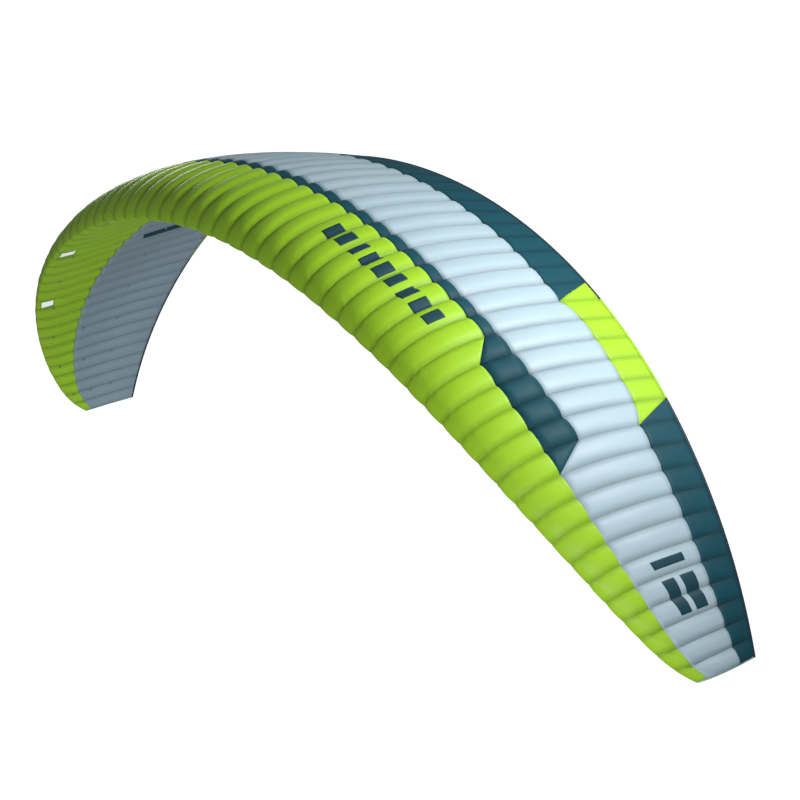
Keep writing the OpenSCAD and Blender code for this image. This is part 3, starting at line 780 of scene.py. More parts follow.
class Finishes:
    """The kite's materials, each built once."""

    def __init__(self) -> None:
        """Builds every material of the kite and the studio."""
        cloth = {"roughness": 0.5, "specular": 0.4}
        self.lime = Ripstop("lime_coated_ripstop_nylon", "#a0d126", **cloth).build()
        self.teal = Ripstop("teal_coated_ripstop_nylon", "#0e4855", roughness=0.6, specular=0.25).build()
        self.silver = Ripstop("silver_coated_ripstop_nylon", "#abc2cc", **cloth).build()
        # the underside's painted shade beside its ribs is lighter
        self.grey = Ripstop("grey_coated_ripstop_nylon", "#899fab", painted_seam_shade=0.82, **cloth).build()
        self.rib = Ripstop("stiff_resin_coated_nylon", "#e4eaea", roughness=0.55).build()
        # painted light: the valve cloth glows faintly, though it is no lamp, so it shows brighter than the
        # skin round it; it also gets a faint painted shade beside its hemmed edges
        self.valve = Ripstop("white_spinnaker_nylon", "#f4f8f2", painted_seam_shade=0.9, glow=0.35).build()
        self.ink = Ripstop("teal_cloth_ink", "#143f4b", roughness=0.6, specular=0.3, thread=0.04).build()
        self.film = Film("clear_polyester_film", "#e8ecea", roughness=0.16, coat=0.4).build()
        self.white_tape = WovenTape("white_polyester_tape", "#e6e8e4", roughness=0.75).build()
        woven = {"roughness": 0.7, "sheen": 0.1}
        self.webbing = WovenTape("black_polyester_webbing", "#1a1d20", **woven).build()
        self.loop_webbing = WovenTape("grey_polyester_webbing", "#8b9ba1", **woven).build()
        self.rear_tape = WovenTape("dark_teal_edge_tape", "#0f2c36", roughness=0.65).build()
        self.tip_tape = WovenTape("silver_edge_tape", "#9fb4bd", roughness=0.65).build()
        self.hem_tape = WovenTape("lime_edge_tape", "#8fc024", roughness=0.65).build()
        pile = {"roughness": 0.85, "rib": 0.0009, "sheen": 0.3}
        self.hook_loop = WovenTape("black_hook_and_loop_tape", "#14171a", **pile).build()
        self.coil = Moulded("moulded_nylon_coil", "#22262a", roughness=0.4).build()
        self.zinc = CastZinc("die_cast_zinc", "#b9bcc0", roughness=0.32, metallic=1.0).build()
        # glows so that the floor stays an even white, wherever the lamps stand
        paint = {"roughness": 0.9, "specular": 0.1, "glow": 1.0}
        self.floor = Seamless("white_floor_paint", "#f7f8f8", **paint).build()


# ---- Making and finishing pieces --------------------------------------------------------------


@dataclass
class Maker:
    """Turns a bmesh into a finished piece of the kite."""

    nodes: dict[str, bpy.types.Object]
    made: list[str] = field(default_factory=list)

    def piece(
        self,
        name: str,
        bm: bmesh.types.BMesh,
        material: bpy.types.Material,
        body: str,
        nodes: Sequence[str] = (),
        slot: str | None = None,
        thick: float = 0.0,
    ) -> bpy.types.Object:
        """Links a mesh to the scene and ties it to the frame.

        Args:
            name: The piece's name.
            bm: Its mesh, which is freed.
            material: Its material.
            body: The CAD body that it rides on.
            nodes: CAD nodes that it stands for.
            slot: Not used.
            thick: Cloth thickness, grown inwards.

        Returns:
            The object.
        """
        mesh = bpy.data.meshes.new(name)
        bm.to_mesh(mesh)
        bm.free()
        mesh.materials.append(material)
        obj = bpy.data.objects.new(name, mesh)
        bpy.context.scene.collection.objects.link(obj)
        if thick:
            shell = obj.modifiers.new("cloth_thickness", "SOLIDIFY")
            shell.thickness = thick
            shell.offset = -1.0
        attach(obj, body)
        if nodes:
            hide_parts(*nodes)
        self.made.append(name)
        log.info("%s: %d faces", name, len(mesh.polygons))
        return obj

    def carry(self, node: str, material: bpy.types.Material) -> None:
        """Gives a CAD node that stays its detailed material.

        Args:
            node: The node's name.
            material: Its material.
        """
        mesh = self.nodes[node].data
        mesh.materials.clear()
        mesh.materials.append(material)
        self.made.append(node)
        log.info("%s: CAD node with %s", node, material.name)


def grid(columns: int, rows: int) -> tuple[bmesh.types.BMesh, Array, Array]:
    """Makes a flat grid that a surface is shaped from.

    Args:
        columns: Faces across.
        rows: Faces from front to rear.

    Returns:
        The bmesh, and each vertex's column and row.
    """
    bm = bmesh.new()
    bmesh.ops.create_grid(bm, x_segments=columns, y_segments=rows, size=0.5)
    places = np.array([v.co for v in bm.verts])
    column = np.rint((places[:, 0] + 0.5) * columns).astype(int)
    row = np.rint((places[:, 1] + 0.5) * rows).astype(int)
    return bm, column, row


def put(bm: bmesh.types.BMesh, points: Array) -> None:
    """Moves each vertex to its point."""
    for vert, point in zip(bm.verts, points):
        vert.co = point


def write_maps(bm: bmesh.types.BMesh, across: Array, along: Array, seam: Array) -> None:
    """Stores the cloth's UV map, in metres, and each vertex's distance from the nearest seam.

    Args:
        bm: The mesh, with its vertices in the order of the arrays.
        across: Distance across the cloth.
        along: Distance along the cloth.
        seam: Distance from the nearest seam.
    """
    bm.verts.ensure_lookup_table()
    layer = bm.verts.layers.float.new("seam")
    for vert, value in zip(bm.verts, seam):
        vert[layer] = value
    uv = bm.loops.layers.uv.new("cloth")
    bm.verts.index_update()
    for face in bm.faces:
        face.smooth = True
        for loop in face.loops:
            k = loop.vert.index
            loop[uv].uv = (across[k], along[k])


def grid_sides(points: Array, column: Array, row: Array) -> tuple[float, float]:
    """Longest run across and along a shaped grid.

    Args:
        points: The grid's points.
        column: Their columns.
        row: Their rows.

    Returns:
        The two runs in metres.
    """
    table = np.zeros((column.max() + 1, row.max() + 1, 3))
    table[column, row] = points
    across = np.linalg.norm(np.diff(table, axis=0), axis=2).sum(axis=0).max()
    along = np.linalg.norm(np.diff(table, axis=1), axis=2).sum(axis=1).max()
    return float(across), float(along)


def cloth_area(bm: bmesh.types.BMesh) -> float:
    """Area of all its faces in square metres."""
    return sum(face.calc_area() for face in bm.faces)


def join(parts: Sequence[bmesh.types.BMesh]) -> bmesh.types.BMesh:
    """Puts several bmeshes into one.

    Args:
        parts: The bmeshes, which are freed.

    Returns:
        The whole.
    """
    whole = bmesh.new()
    for part in parts:
        mesh = bpy.data.meshes.new("part")
        part.to_mesh(mesh)
        part.free()
        whole.from_mesh(mesh)
        bpy.data.meshes.remove(mesh)
    return whole


def outline(bm: bmesh.types.BMesh, points: Sequence[tuple[float, float]]) -> None:
    """Draws a closed outline in the plane of a rib.

    Args:
        bm: The mesh that it is added to.
        points: Its corners, in order.
    """
    ring = [bm.verts.new((back, up, 0)) for back, up in points]
    for a, b in zip(ring, ring[1:] + ring[:1]):
        bm.edges.new((a, b))


def declare_sheet(
    obj: bpy.types.Object, sides: tuple[float, float], area: float
) -> None:
    """Logs the flat cut of a piece of stretched cloth, from the area that it has on the inflated wing.

    Args:
        obj: The piece.
        sides: Width and length of the flat cut.
        area: Flat area of its cloth.
    """
    width, length = sides
    width = max(width, area / length)
    log.info("%s: cut %.2f x %.2f m, %.3f m2", obj.name, width, length, area)


# ---- Skins ------------------------------------------------------------------------------------

SIDES = ("right", "left")
Edge = Callable[[int, int], float]

# columns of vertices across a cell, closer together beside the seams, where the cloth turns in
HALF_CELL = (0.0, 0.015, 0.05, 0.105, 0.18, 0.26, 0.34, 0.42)
COLUMNS = HALF_CELL + (0.5,) + tuple(1 - u for u in reversed(HALF_CELL))
CELL_STEPS = len(COLUMNS) - 1


@dataclass(frozen=True)
class Strip:
    """Cloth of one colour across a run of cells, between two edges.

    first and last are its cells; marks are shares of the chord that a row of vertices keeps to; rows are the
    faces in each stretch, and power crowds the first stretch's rows towards the front.
    """

    face: Face
    first: int
    last: int
    front: Edge
    rear: Edge
    rows: tuple[int, ...]
    marks: tuple[float, ...] = ()
    power: float = 1.0


@dataclass
class Skins:
    """The outer cloth: a panel of each colour in each cell, sewn along the ribs."""

    wing: Wing
    layout: Layout
    maker: Maker
    finishes: Finishes
    merge: float = 1e-5

    def strip_mesh(self, strip: Strip, section: Section) -> tuple[bmesh.types.BMesh, tuple[float, float]]:
        """Shapes a grid into one strip of cloth.

        Args:
            strip: What to make.
            section: Which section of the wing it is in.

        Returns:
            The bmesh and the longest run across and along it.
        """
        middle = section is Section.CENTRE
        count = 2 * strip.last + 1 if middle else strip.last - strip.first + 1
        start = strip.first - 0.5 if section is Section.RIGHT else -strip.last - 0.5
        bm, column, row = grid(count * CELL_STEPS, sum(strip.rows))
        rib = start + column // CELL_STEPS + np.array(COLUMNS)[column % CELL_STEPS]
        reach = np.abs(rib)
        inner = 0 if middle else strip.first
        cell = np.clip(np.floor(reach + 0.5 + 1e-9).astype(int), inner, strip.last)
        u = np.clip(reach - cell + 0.5, 0, 1)
        x = (self.rows_at(strip, cell, 0, row), self.rows_at(strip, cell, 1, row))
        points = self.wing.cloth(cell, u, x, strip.face)
        points[:, 0] *= np.where(rib < 0, -1.0, 1.0)
        put(bm, points)
        share = x[0] + (x[1] - x[0]) * u
        width = self.wing.cell_widths[cell]
        along = self.wing.profile_length(share, strip.face) * self.wing.chord(self.wing.station(rib))
        write_maps(bm, u * width, along, np.minimum(u, 1 - u) * width)
        for edge in bm.edges:
            a, b = (v.index for v in edge.verts)
            edge.smooth = not (column[a] == column[b] and column[a] % CELL_STEPS == 0)
        if strip.face is Face.LOWER:
            self.cut_intakes(bm, cell, u, share)
            bmesh.ops.reverse_faces(bm, faces=bm.faces)
        bmesh.ops.remove_doubles(bm, verts=bm.verts, dist=self.merge)
        return bm, grid_sides(points, column, row)

    def rows_at(self, strip: Strip, cell: Array, end: int, row: Array) -> Array:
        """Share of the chord of each vertex's row at one rib of its cell.

        Args:
            strip: The strip.
            cell: Each vertex's cell.
            end: 0 for the inner rib, 1 for the outer one.
            row: Each vertex's row.

        Returns:
            Shares of the chord.
        """
        numbers = range(self.wing.cells // 2 + 1)
        fronts = np.array([strip.front(c, max(0, c - 1 + end)) for c in numbers])[cell]
        rears = np.array([strip.rear(c, max(0, c - 1 + end)) for c in numbers])[cell]
        stops = [fronts, *(np.full_like(fronts, m) for m in strip.marks), rears]
        x = np.zeros_like(fronts)
        done = 0
        for k, (rows, low, high) in enumerate(zip(strip.rows, stops[:-1], stops[1:])):
            part = np.clip((row - done) / rows, 0, 1) ** (strip.power if k == 0 else 1.0)
            here = row >= done
            x = np.where(here, low + (high - low) * part, x)
            done += rows
        return x

    def cut_intakes(self, bm: bmesh.types.BMesh, cell: Array, u: Array, x: Array) -> None:
        """Removes the faces of the air intakes' openings.

        Args:
            bm: The strip's mesh.
            cell: Each vertex's cell.
            u: Its place across the cell.
            x: Its share of the chord.
        """
        wing = self.wing
        front, rear, side = wing.intake_front, wing.intake_rear, wing.intake_side
        if not np.any((x > front) & (x < rear)):
            return
        holes = []
        for face in bm.faces:
            ids = [v.index for v in face.verts]
            at, across = np.mean(x[ids]), np.mean(u[ids])
            open_cell = np.isin(cell[ids], wing.intake_cells).any()
            if open_cell and front < at < rear and side < across < 1 - side:
                holes.append(face)
        bmesh.ops.delete(bm, geom=holes, context="FACES")

    def sew(
        self,
        name: str,
        node: str,
        strips: Sequence[Strip],
        section: Section,
        material: bpy.types.Material,
        slot: str,
    ) -> None:
        """Args:
            name: Name of the piece.
            node: CAD node that it stands for.
            strips: Its strips, joined into one piece.
            section: Its section.
            material: Its finish.
            slot: The record's material slot.
        """
        made = [self.strip_mesh(strip, section) for strip in strips]
        across = sum(sides[0] for _, sides in made)
        along = max(sides[1] for _, sides in made)
        whole = join([part for part, _ in made])
        area = cloth_area(whole)
        obj = self.maker.piece(name, whole, material, "canopy", [node], slot, CLOTH_T)
        declare_sheet(obj, (across, along), area)

    def build(self) -> None:
        """Sews all the skins, section by section."""
        wing, edges, colours = self.wing, self.layout, self.finishes
        tip = wing.cells // 2
        middle = edges.section_last
        marks = (wing.intake_front, wing.intake_rear)
        for section in Section:
            centre = section is Section.CENTRE
            first, last = (0, middle) if centre else (middle + 1, tip)
            stripe_last = last if centre else edges.patch_last + 1
            nose = Strip(Face.UPPER, first, last, edges.front, edges.nose, (48,), power=2.0)
            stripe = Strip(Face.UPPER, first, stripe_last, edges.nose, edges.stripe, (4,))
            top = Strip(Face.UPPER, first, last, edges.stripe, edges.trailing, (16,))
            lower_nose = Strip(Face.LOWER, first, last, edges.front, edges.lower, (10, 8, 14), marks, 2.0)
            lower = Strip(Face.LOWER, first, last, edges.lower, edges.rear, (20,))
            back = (edges.trailing, edges.rear)
            runs = [(first, last, *back)]
            if not centre:
                start, end = edges.insert_first, edges.insert_last
                ahead, behind = (edges.trailing, edges.insert_cut), (edges.insert_cut, edges.rear)
                runs = [
                    (first, start - 1, *back),
                    (start, start, *ahead),
                    (end, end, *behind),
                    (end + 1, tip, *back),
                ]
                block = [(start, start, *behind), (start + 1, end - 1, *back), (end, end, *ahead)]
                insert = [Strip(Face.UPPER, *run, (8,)) for run in block]
                name, node = f"rear_insert_cloth_{section.value}", f"trailing_insert_{section.value}"
                self.sew(name, node, insert, section, colours.lime, "lime_ripstop")
            rears = [Strip(Face.UPPER, *run, (8,)) for run in runs]
            for name, node, strips, material, slot in (
                ("nose_cloth", "nose_panels", [nose], colours.lime, "lime_ripstop"),
                ("stripe_cloth", "leading_stripe", [stripe], colours.teal, "teal_ripstop"),
                ("top_cloth", "top_panels", [top], colours.silver, "silver_ripstop"),
                ("rear_cloth", "trailing_panels", rears, colours.teal, "teal_ripstop"),
                ("lower_nose_cloth", "lower_nose", [lower_nose], colours.lime, "lime_ripstop"),
                ("lower_cloth", "lower_panels", [lower], colours.grey, "grey_ripstop"),
            ):
                own, cad = f"{name}_{section.value}", f"{node}_{section.value}"
                self.sew(own, cad, strips, section, material, slot)


# ---- Pieces of the inside, the edges and the openings -----------------------------------------


def shaped(
    columns: int, rows: int, surface: Callable[[Array, Array], Array], hem: bool = True
) -> tuple[bmesh.types.BMesh, tuple[float, float]]:
    """Makes a grid and lays it on a surface.

    Args:
        columns: Faces across.
        rows: Faces along.
        surface: Takes places across and along, 0 to 1, and gives their points.
        hem: Whether its edges are hemmed and stitched, with painted shade beside them.

    Returns:
        The bmesh and its longest run across and along.
    """
    bm, column, row = grid(columns, rows)
    u, v = column / columns, row / rows
    points = surface(u, v)
    put(bm, points)
    sides = grid_sides(points, column, row)
    across, along = u * sides[0], v * sides[1]
    edge = np.minimum(np.minimum(across, sides[0] - across), np.minimum(along, sides[1] - along))
    write_maps(bm, across, along, edge if hem else np.full_like(edge, NO_SEAM))
    return bm, sides


def mirrored(rib: float, side: str) -> float:
    """A rib number of the right half, or its twin on the left."""
    return rib if side == "right" else -rib


@dataclass
class Inside:
    """Ribs, diagonals and tapes that the skins are sewn to."""

    wing: Wing
    maker: Maker
    finishes: Finishes
    load_step: int = 3
    rows_x: tuple[float, ...] = (0.1, 0.34, 0.62)
    ports_x: tuple[float, ...] = (0.13, 0.26, 0.4, 0.54, 0.68)
    port_share: float = 0.27
    rib_inset: float = 0.001
    upper_points: int = 44
    lower_points: int = 34
    foot_half: float = 0.035
    top_half: float = 0.06
    nose_film_x: float = 0.08
    strip_inset: float = 0.0066
    tape_width: float = 0.025
    tape_share: float = 0.45
    tape_proud: float = 0.0006
    rib_side_gap: float = 0.0016

    def load_ribs(self) -> list[int]:
        """Numbers of the ribs that carry bridle loops."""
        last = self.wing.cells // 2
        return [m for m in range(last) if m % self.load_step == self.load_step // 2]

    def rib_mesh(self, rib: float, ports: Sequence[float]) -> bmesh.types.BMesh:
        """Cuts one rib with its round ports and stands it in its place.

        Args:
            rib: Rib number, negative on the left.
            ports: Places of the ports' middles, as shares of the chord.

        Returns:
            The rib's mesh.
        """
        wing = self.wing
        upper = np.linspace(0, 1, self.upper_points) ** 2
        lower = np.linspace(1, 0, self.lower_points)[1:-1] ** 2
        back, up = wing.profile_points(rib, upper, Face.UPPER, self.rib_inset)
        back_low, up_low = wing.profile_points(rib, lower, Face.LOWER, self.rib_inset)
        tail_back, tail_up = wing.profile_points(rib, 1.0, Face.LOWER, self.rib_inset)
        back = np.concatenate([back, [tail_back], back_low])
        up = np.concatenate([up, [tail_up], up_low])
        bm = bmesh.new()
        outline(bm, list(zip(back, up)))
        for x in ports:
            top = np.array(wing.profile_points(rib, x, Face.UPPER))
            bottom = np.array(wing.profile_points(rib, x, Face.LOWER))
            middle = (top + bottom) / 2
            radius = self.port_share * float(np.linalg.norm(top - bottom))
            spot = Matrix.Translation((middle[0], middle[1], 0))
            bmesh.ops.create_circle(bm, segments=32, radius=radius, matrix=spot)
        bmesh.ops.triangle_fill(bm, edges=bm.edges[:], use_beauty=True, normal=(0, 0, 1))
        flat = np.array([v.co for v in bm.verts])
        put(bm, wing.place(rib, flat[:, 0], flat[:, 1]))
        write_maps(bm, flat[:, 0], flat[:, 1], np.full(len(flat), NO_SEAM))
        return bm

    def ribs(self, side: str) -> None:
        """Makes the plain and the load ribs of one half.

        Args:
            side: "right" or "left".
        """
        first, second, third = self.rows_x
        load_ports = (first + 0.07, first + 0.68 * (second - first), (second + third) / 2)
        loaded = self.load_ribs()
        kinds = {
            "plain_ribs": ([m for m in range(self.wing.cells // 2) if m not in loaded], self.ports_x),
            "load_ribs": (loaded, load_ports),
        }
        for kind, (numbers, ports) in kinds.items():
            whole = join([self.rib_mesh(mirrored(m + 0.5, side), ports) for m in numbers])
            area = cloth_area(whole)
            name, nodes = f"{kind}_cloth_{side}", [f"{kind}_{side}"]
            obj = self.maker.piece(name, whole, self.finishes.rib, "canopy", nodes, "rib_cloth", CLOTH_T)
            long = self.wing.centre_chord
            declare_sheet(obj, (area / long, long), area)

    def diagonal(self, m: int, way: int, x: float, side: str) -> bmesh.types.BMesh:
        """One slanted strip from the foot of a load rib to the top of the rib next to it.

        Args:
            m: The load rib.
            way: 1 towards the tip, -1 towards the middle.
            x: Share of the chord of its middle.
            side: "right" or "left".

        Returns:
            The strip's mesh.
        """
        cell = m + 1 if way > 0 else m
        gap = self.rib_side_gap / self.wing.cell_widths[cell]
        start, end = m + 0.5, m + 0.5 + way

        def surface(u: Array, v: Array) -> Array:
            """Places the points.

            Args:
                u: Places across, 0 to 1.
                v: Places along, 0 to 1.

            Returns:
                Points, one a row.
            """
            share = 2 * v - 1
            foot = self.wing.rib_points(start, x + share * self.foot_half, Face.LOWER, self.strip_inset)
            top = self.wing.rib_points(end, x + share * self.top_half, Face.UPPER, self.strip_inset)
            across = (gap + (1 - 2 * gap) * u)[:, None]
            points = foot + (top - foot) * across
            points[:, 0] *= mirrored(1.0, side)
            return points

        return shaped(8, 6, surface)[0]

    def diagonals(self, side: str) -> None:
        """Makes the diagonal ribs of one half.

        Args:
            side: "right" or "left".
        """
        last = self.wing.cells // 2
        front_x = self.nose_film_x + self.top_half + 0.01
        parts = []
        for m in self.load_ribs():
            ways = [(-1, front_x)] if m not in self.wing.intake_cells else []
            ways += [(1, front_x)] if m < last - 1 else []
            ways += [(way, self.rows_x[1]) for way in (-1, 1) if m + way < last]
            parts += [self.diagonal(m, way, x, side) for way, x in ways]
        whole = join(parts)
        area = cloth_area(whole)
        name, nodes = f"diagonal_rib_cloth_{side}", [f"diagonal_ribs_{side}"]
        obj = self.maker.piece(name, whole, self.finishes.rib, "canopy", nodes, "rib_cloth", CLOTH_T)
        wide = 2 * self.top_half * self.wing.centre_chord
        declare_sheet(obj, (area / wide, wide), area)

    def tape(self, x: float, cell: int) -> bmesh.types.BMesh:
        """One cell's length of a tape that runs along the span.

        Args:
            x: Share of the chord of its middle line.
            cell: The cell, negative on the left.

        Returns:
            The tape's mesh.
        """
        half = self.tape_width / 2 / self.wing.centre_chord
        gap = self.rib_side_gap / self.wing.cell_widths[abs(cell)]
        inset = self.strip_inset - self.tape_proud

        def surface(u: Array, v: Array) -> Array:
            """Places the points.

            Args:
                u: Places across, 0 to 1.
                v: Places along, 0 to 1.

            Returns:
                Points, one a row.
            """
            at = x + (2 * v - 1) * half
            low = self.wing.rib_points(abs(cell) - 0.5, at, Face.LOWER, inset)
            high = self.wing.rib_points(abs(cell) + 0.5, at, Face.LOWER, inset)
            points = low + (high - low) * (gap + (1 - 2 * gap) * u)[:, None]
            points[:, 0] *= -1.0 if cell < 0 else 1.0
            return points

        return shaped(4, 3, surface)[0]

    def tapes(self) -> None:
        """Makes the tapes that run along the span inside the lower skin."""
        first, second, third = self.rows_x
        between = self.tape_share
        rows = (first + between * (second - first), second + between * (third - second))
        tip = self.wing.cells // 2
        parts = [self.tape(x, cell) for x in rows for cell in range(-tip, tip + 1)]
        material, nodes = self.finishes.white_tape, ["tension_tapes"]
        self.maker.piece("span_tapes", join(parts), material, "canopy", nodes, "white_tape", WEBBING_T)

    def build(self) -> None:
        """Makes everything that is sewn inside the wing."""
        for side in SIDES:
            self.ribs(side)
            self.diagonals(side)
            self.maker.carry(f"nose_reinforcements_{side}", self.finishes.film)
        self.tapes()


@dataclass
class Edges:
    """Trailing edge binding, tip panels and their seam tapes, and the tip vents' flaps."""

    wing: Wing
    maker: Maker
    finishes: Finishes
    leg: float = 0.011
    lift: float = 0.0007
    tip_shift: float = 0.0015
    tip_tape: float = 0.009
    vent_x: float = 0.56
    vent_size: tuple[float, float] = (0.06, 0.014)
    vent_lap: float = 0.005
    vent_out: float = 0.0018
    vent_wave: float = 0.0002
    insert_ribs: tuple[float, float] = (13.5, 18.5)

    def binding(self) -> None:
        """Folds one tape round the rear edges of both skins, from tip to tip."""
        wing = self.wing
        per_cell, turns = 6, 6
        columns, rows = wing.cells * per_cell, turns + 4

        def surface(u: Array, v: Array) -> Array:
            """Places the points.

            Args:
                u: Places across, 0 to 1.
                v: Places along, 0 to 1.

            Returns:
                Points, one a row.
            """
            rib = (2 * u - 1) * wing.last_rib
            reach = np.abs(rib)
            cell = np.clip(np.floor(reach + 0.5 + 1e-9).astype(int), 0, wing.cells // 2)
            place = np.clip(reach - cell + 0.5, 0, 1)
            row = np.rint(v * rows).astype(int)
            points = np.zeros((len(u), 3))
            for k in range(rows + 1):
                here = row == k
                if 2 <= k <= rows - 2:
                    angle = (k - 2) / turns * math.pi
                    upper = wing.rib_points(reach[here], 1.0, Face.UPPER, -self.lift)
                    lower = wing.rib_points(reach[here], 1.0, Face.LOWER, -self.lift)
                    middle, half = (upper + lower) / 2, (upper - lower) / 2
                    points[here] = middle + half * math.cos(angle)
                    points[here, 1] += wing.binding_w * math.sin(angle)
                    continue
                face = Face.UPPER if k < 2 else Face.LOWER
                ahead = self.leg * (2 - k if k < 2 else k - rows + 2) / 2
                x = 1 - ahead / wing.chord(wing.station(reach[here]))
                points[here] = wing.cloth(cell[here], place[here], (x, x), face, self.lift)
            points[:, 0] *= np.where(rib < 0, -1.0, 1.0)
            return points

        bm, _ = shaped(columns, rows, surface)
        bmesh.ops.reverse_faces(bm, faces=bm.faces)
        low, high = (wing.rib_points(rib, 1.0, Face.UPPER)[0] for rib in self.insert_ribs)
        for face in bm.faces:
            face.material_index = int(low < abs(face.calc_center_median().x) < high)
        material, nodes = self.finishes.rear_tape, ["trailing_edge_binding"]
        tape = self.maker.piece(
            "rear_edge_tape", bm, material, "canopy", nodes, "black_webbing", EDGE_TAPE_T
        )
        tape.data.materials.append(self.finishes.hem_tape)

    def tip_panel(self, side: str) -> None:
        """Cuts a tip panel with its vent opening.

        Args:
            side: "right" or "left".
        """
        wing, rib = self.wing, mirrored(self.wing.last_rib, side)
        upper, lower = np.linspace(0, 1, 36) ** 2, np.linspace(1, 0, 28)[:-1] ** 2
        back, up = wing.profile_points(rib, upper, Face.UPPER)
        back_low, up_low = wing.profile_points(rib, lower, Face.LOWER)
        back, up = np.concatenate([back, back_low]), np.concatenate([up, up_low])
        bm = bmesh.new()
        outline(bm, list(zip(back, up)))
        middle, half = self.vent_middle(rib), np.array(self.vent_size) / 2
        outline(bm, [tuple(middle + half * corner) for corner in ((-1, -1), (1, -1), (1, 1), (-1, 1))])
        bmesh.ops.triangle_fill(bm, edges=bm.edges[:], use_beauty=True, normal=(0, 0, 1))
        flat = np.array([v.co for v in bm.verts])
        put(bm, wing.place(rib, flat[:, 0], flat[:, 1], self.tip_shift))
        write_maps(bm, flat[:, 0], flat[:, 1], np.full(len(flat), NO_SEAM))
        bm.normal_update()
        if mirrored(sum(f.normal.x * f.calc_area() for f in bm.faces), side) < 0:
            bmesh.ops.reverse_faces(bm, faces=bm.faces)
        area = cloth_area(bm)
        name, nodes = f"tip_cloth_{side}", [f"tip_panel_{side}"]
        obj = self.maker.piece(name, bm, self.finishes.grey, "canopy", nodes, "grey_ripstop", CLOTH_T)
        long = float(np.ptp(flat[:, 0]))
        declare_sheet(obj, (float(np.ptp(flat[:, 1])), long), area)

    def vent_middle(self, rib: float) -> Array:
        """Middle of the sand vent in the tip's plane."""
        top = np.array(self.wing.profile_points(rib, self.vent_x, Face.UPPER))
        return (top + np.array(self.wing.profile_points(rib, self.vent_x, Face.LOWER))) / 2

    def tip_seam(self, side: str) -> None:
        """Folds a seam tape round the edge between the skins and a tip panel.

        Args:
            side: "right" or "left".
        """
        wing, rib = self.wing, self.wing.last_rib
        cell = wing.cells // 2
        around, across = 72, 4

        def surface(u: Array, v: Array) -> Array:
            """Places the points.

            Args:
                u: Places across, 0 to 1.
                v: Places along, 0 to 1.

            Returns:
                Points, one a row.
            """
            turn = 2 * u - 1
            x, row = turn**2, np.rint(v * across).astype(int)
            points = np.zeros((len(u), 3))
            for face, sign in ((Face.UPPER, 1), (Face.LOWER, -1)):
                for k in range(across + 1):
                    here = (np.sign(turn + 1e-9) == sign) & (row == k)
                    at = x[here]
                    if k < 2:
                        inboard = 1 - self.tip_tape * (2 - k) / 2 / wing.cell_widths[cell]
                        cells = np.full(len(at), cell)
                        points[here] = wing.cloth(cells, np.full(len(at), inboard), (at, at), face, self.lift)
                        continue
                    depth = (-self.lift, -self.lift, self.tip_tape)[k - 2]
                    out = (0.0, self.tip_shift + self.lift, self.tip_shift + self.lift)[k - 2]
                    depth = np.minimum(depth, 0.3 * (1 - at) * wing.tip_chord * wing.thickness + 0.002)
                    points[here] = wing.place(rib, *wing.profile_points(rib, at, face, depth), out)
            points[:, 0] *= mirrored(1.0, side)
            return points

        bm, _ = shaped(around, across, surface)
        if side == "right":
            bmesh.ops.reverse_faces(bm, faces=bm.faces)
        name, material = f"tip_seam_tape_{side}", self.finishes.tip_tape
        self.maker.piece(name, bm, material, "canopy", [], "grey_ripstop", EDGE_TAPE_T)

    def vent_flap(self, side: str) -> None:
        """Makes the hook-and-loop flap over a tip vent.

        Args:
            side: "right" or "left".
        """
        wing, rib = self.wing, mirrored(self.wing.last_rib, side)
        middle = self.vent_middle(rib)
        plate = self.tip_shift + self.vent_out

        def surface(u: Array, v: Array) -> Array:
            """Places the points.

            Args:
                u: Places across, 0 to 1.
                v: Places along, 0 to 1.

            Returns:
                Points, one a row.
            """
            back = middle[0] + (2 * u - 1) * (self.vent_size[0] / 2 + self.vent_lap)
            up = middle[1] + (2 * v - 1) * (self.vent_size[1] / 2 + self.vent_lap)
            wave = self.vent_wave * np.sin(u * 9) * np.sin(v * math.pi)
            return wing.place(rib, back, up, plate + wave)

        bm, _ = shaped(16, 6, surface)
        name, body, material = f"vent_cover_{side}", f"tip_vent_flap_{side}", self.finishes.hook_loop
        self.maker.piece(name, bm, material, body, [body], "hook_and_loop", WEBBING_T)

    def build(self) -> None:
        """Makes the rear edge and both tips."""
        self.binding()
        for side in SIDES:
            self.tip_panel(side)
            self.tip_seam(side)
            self.vent_flap(side)


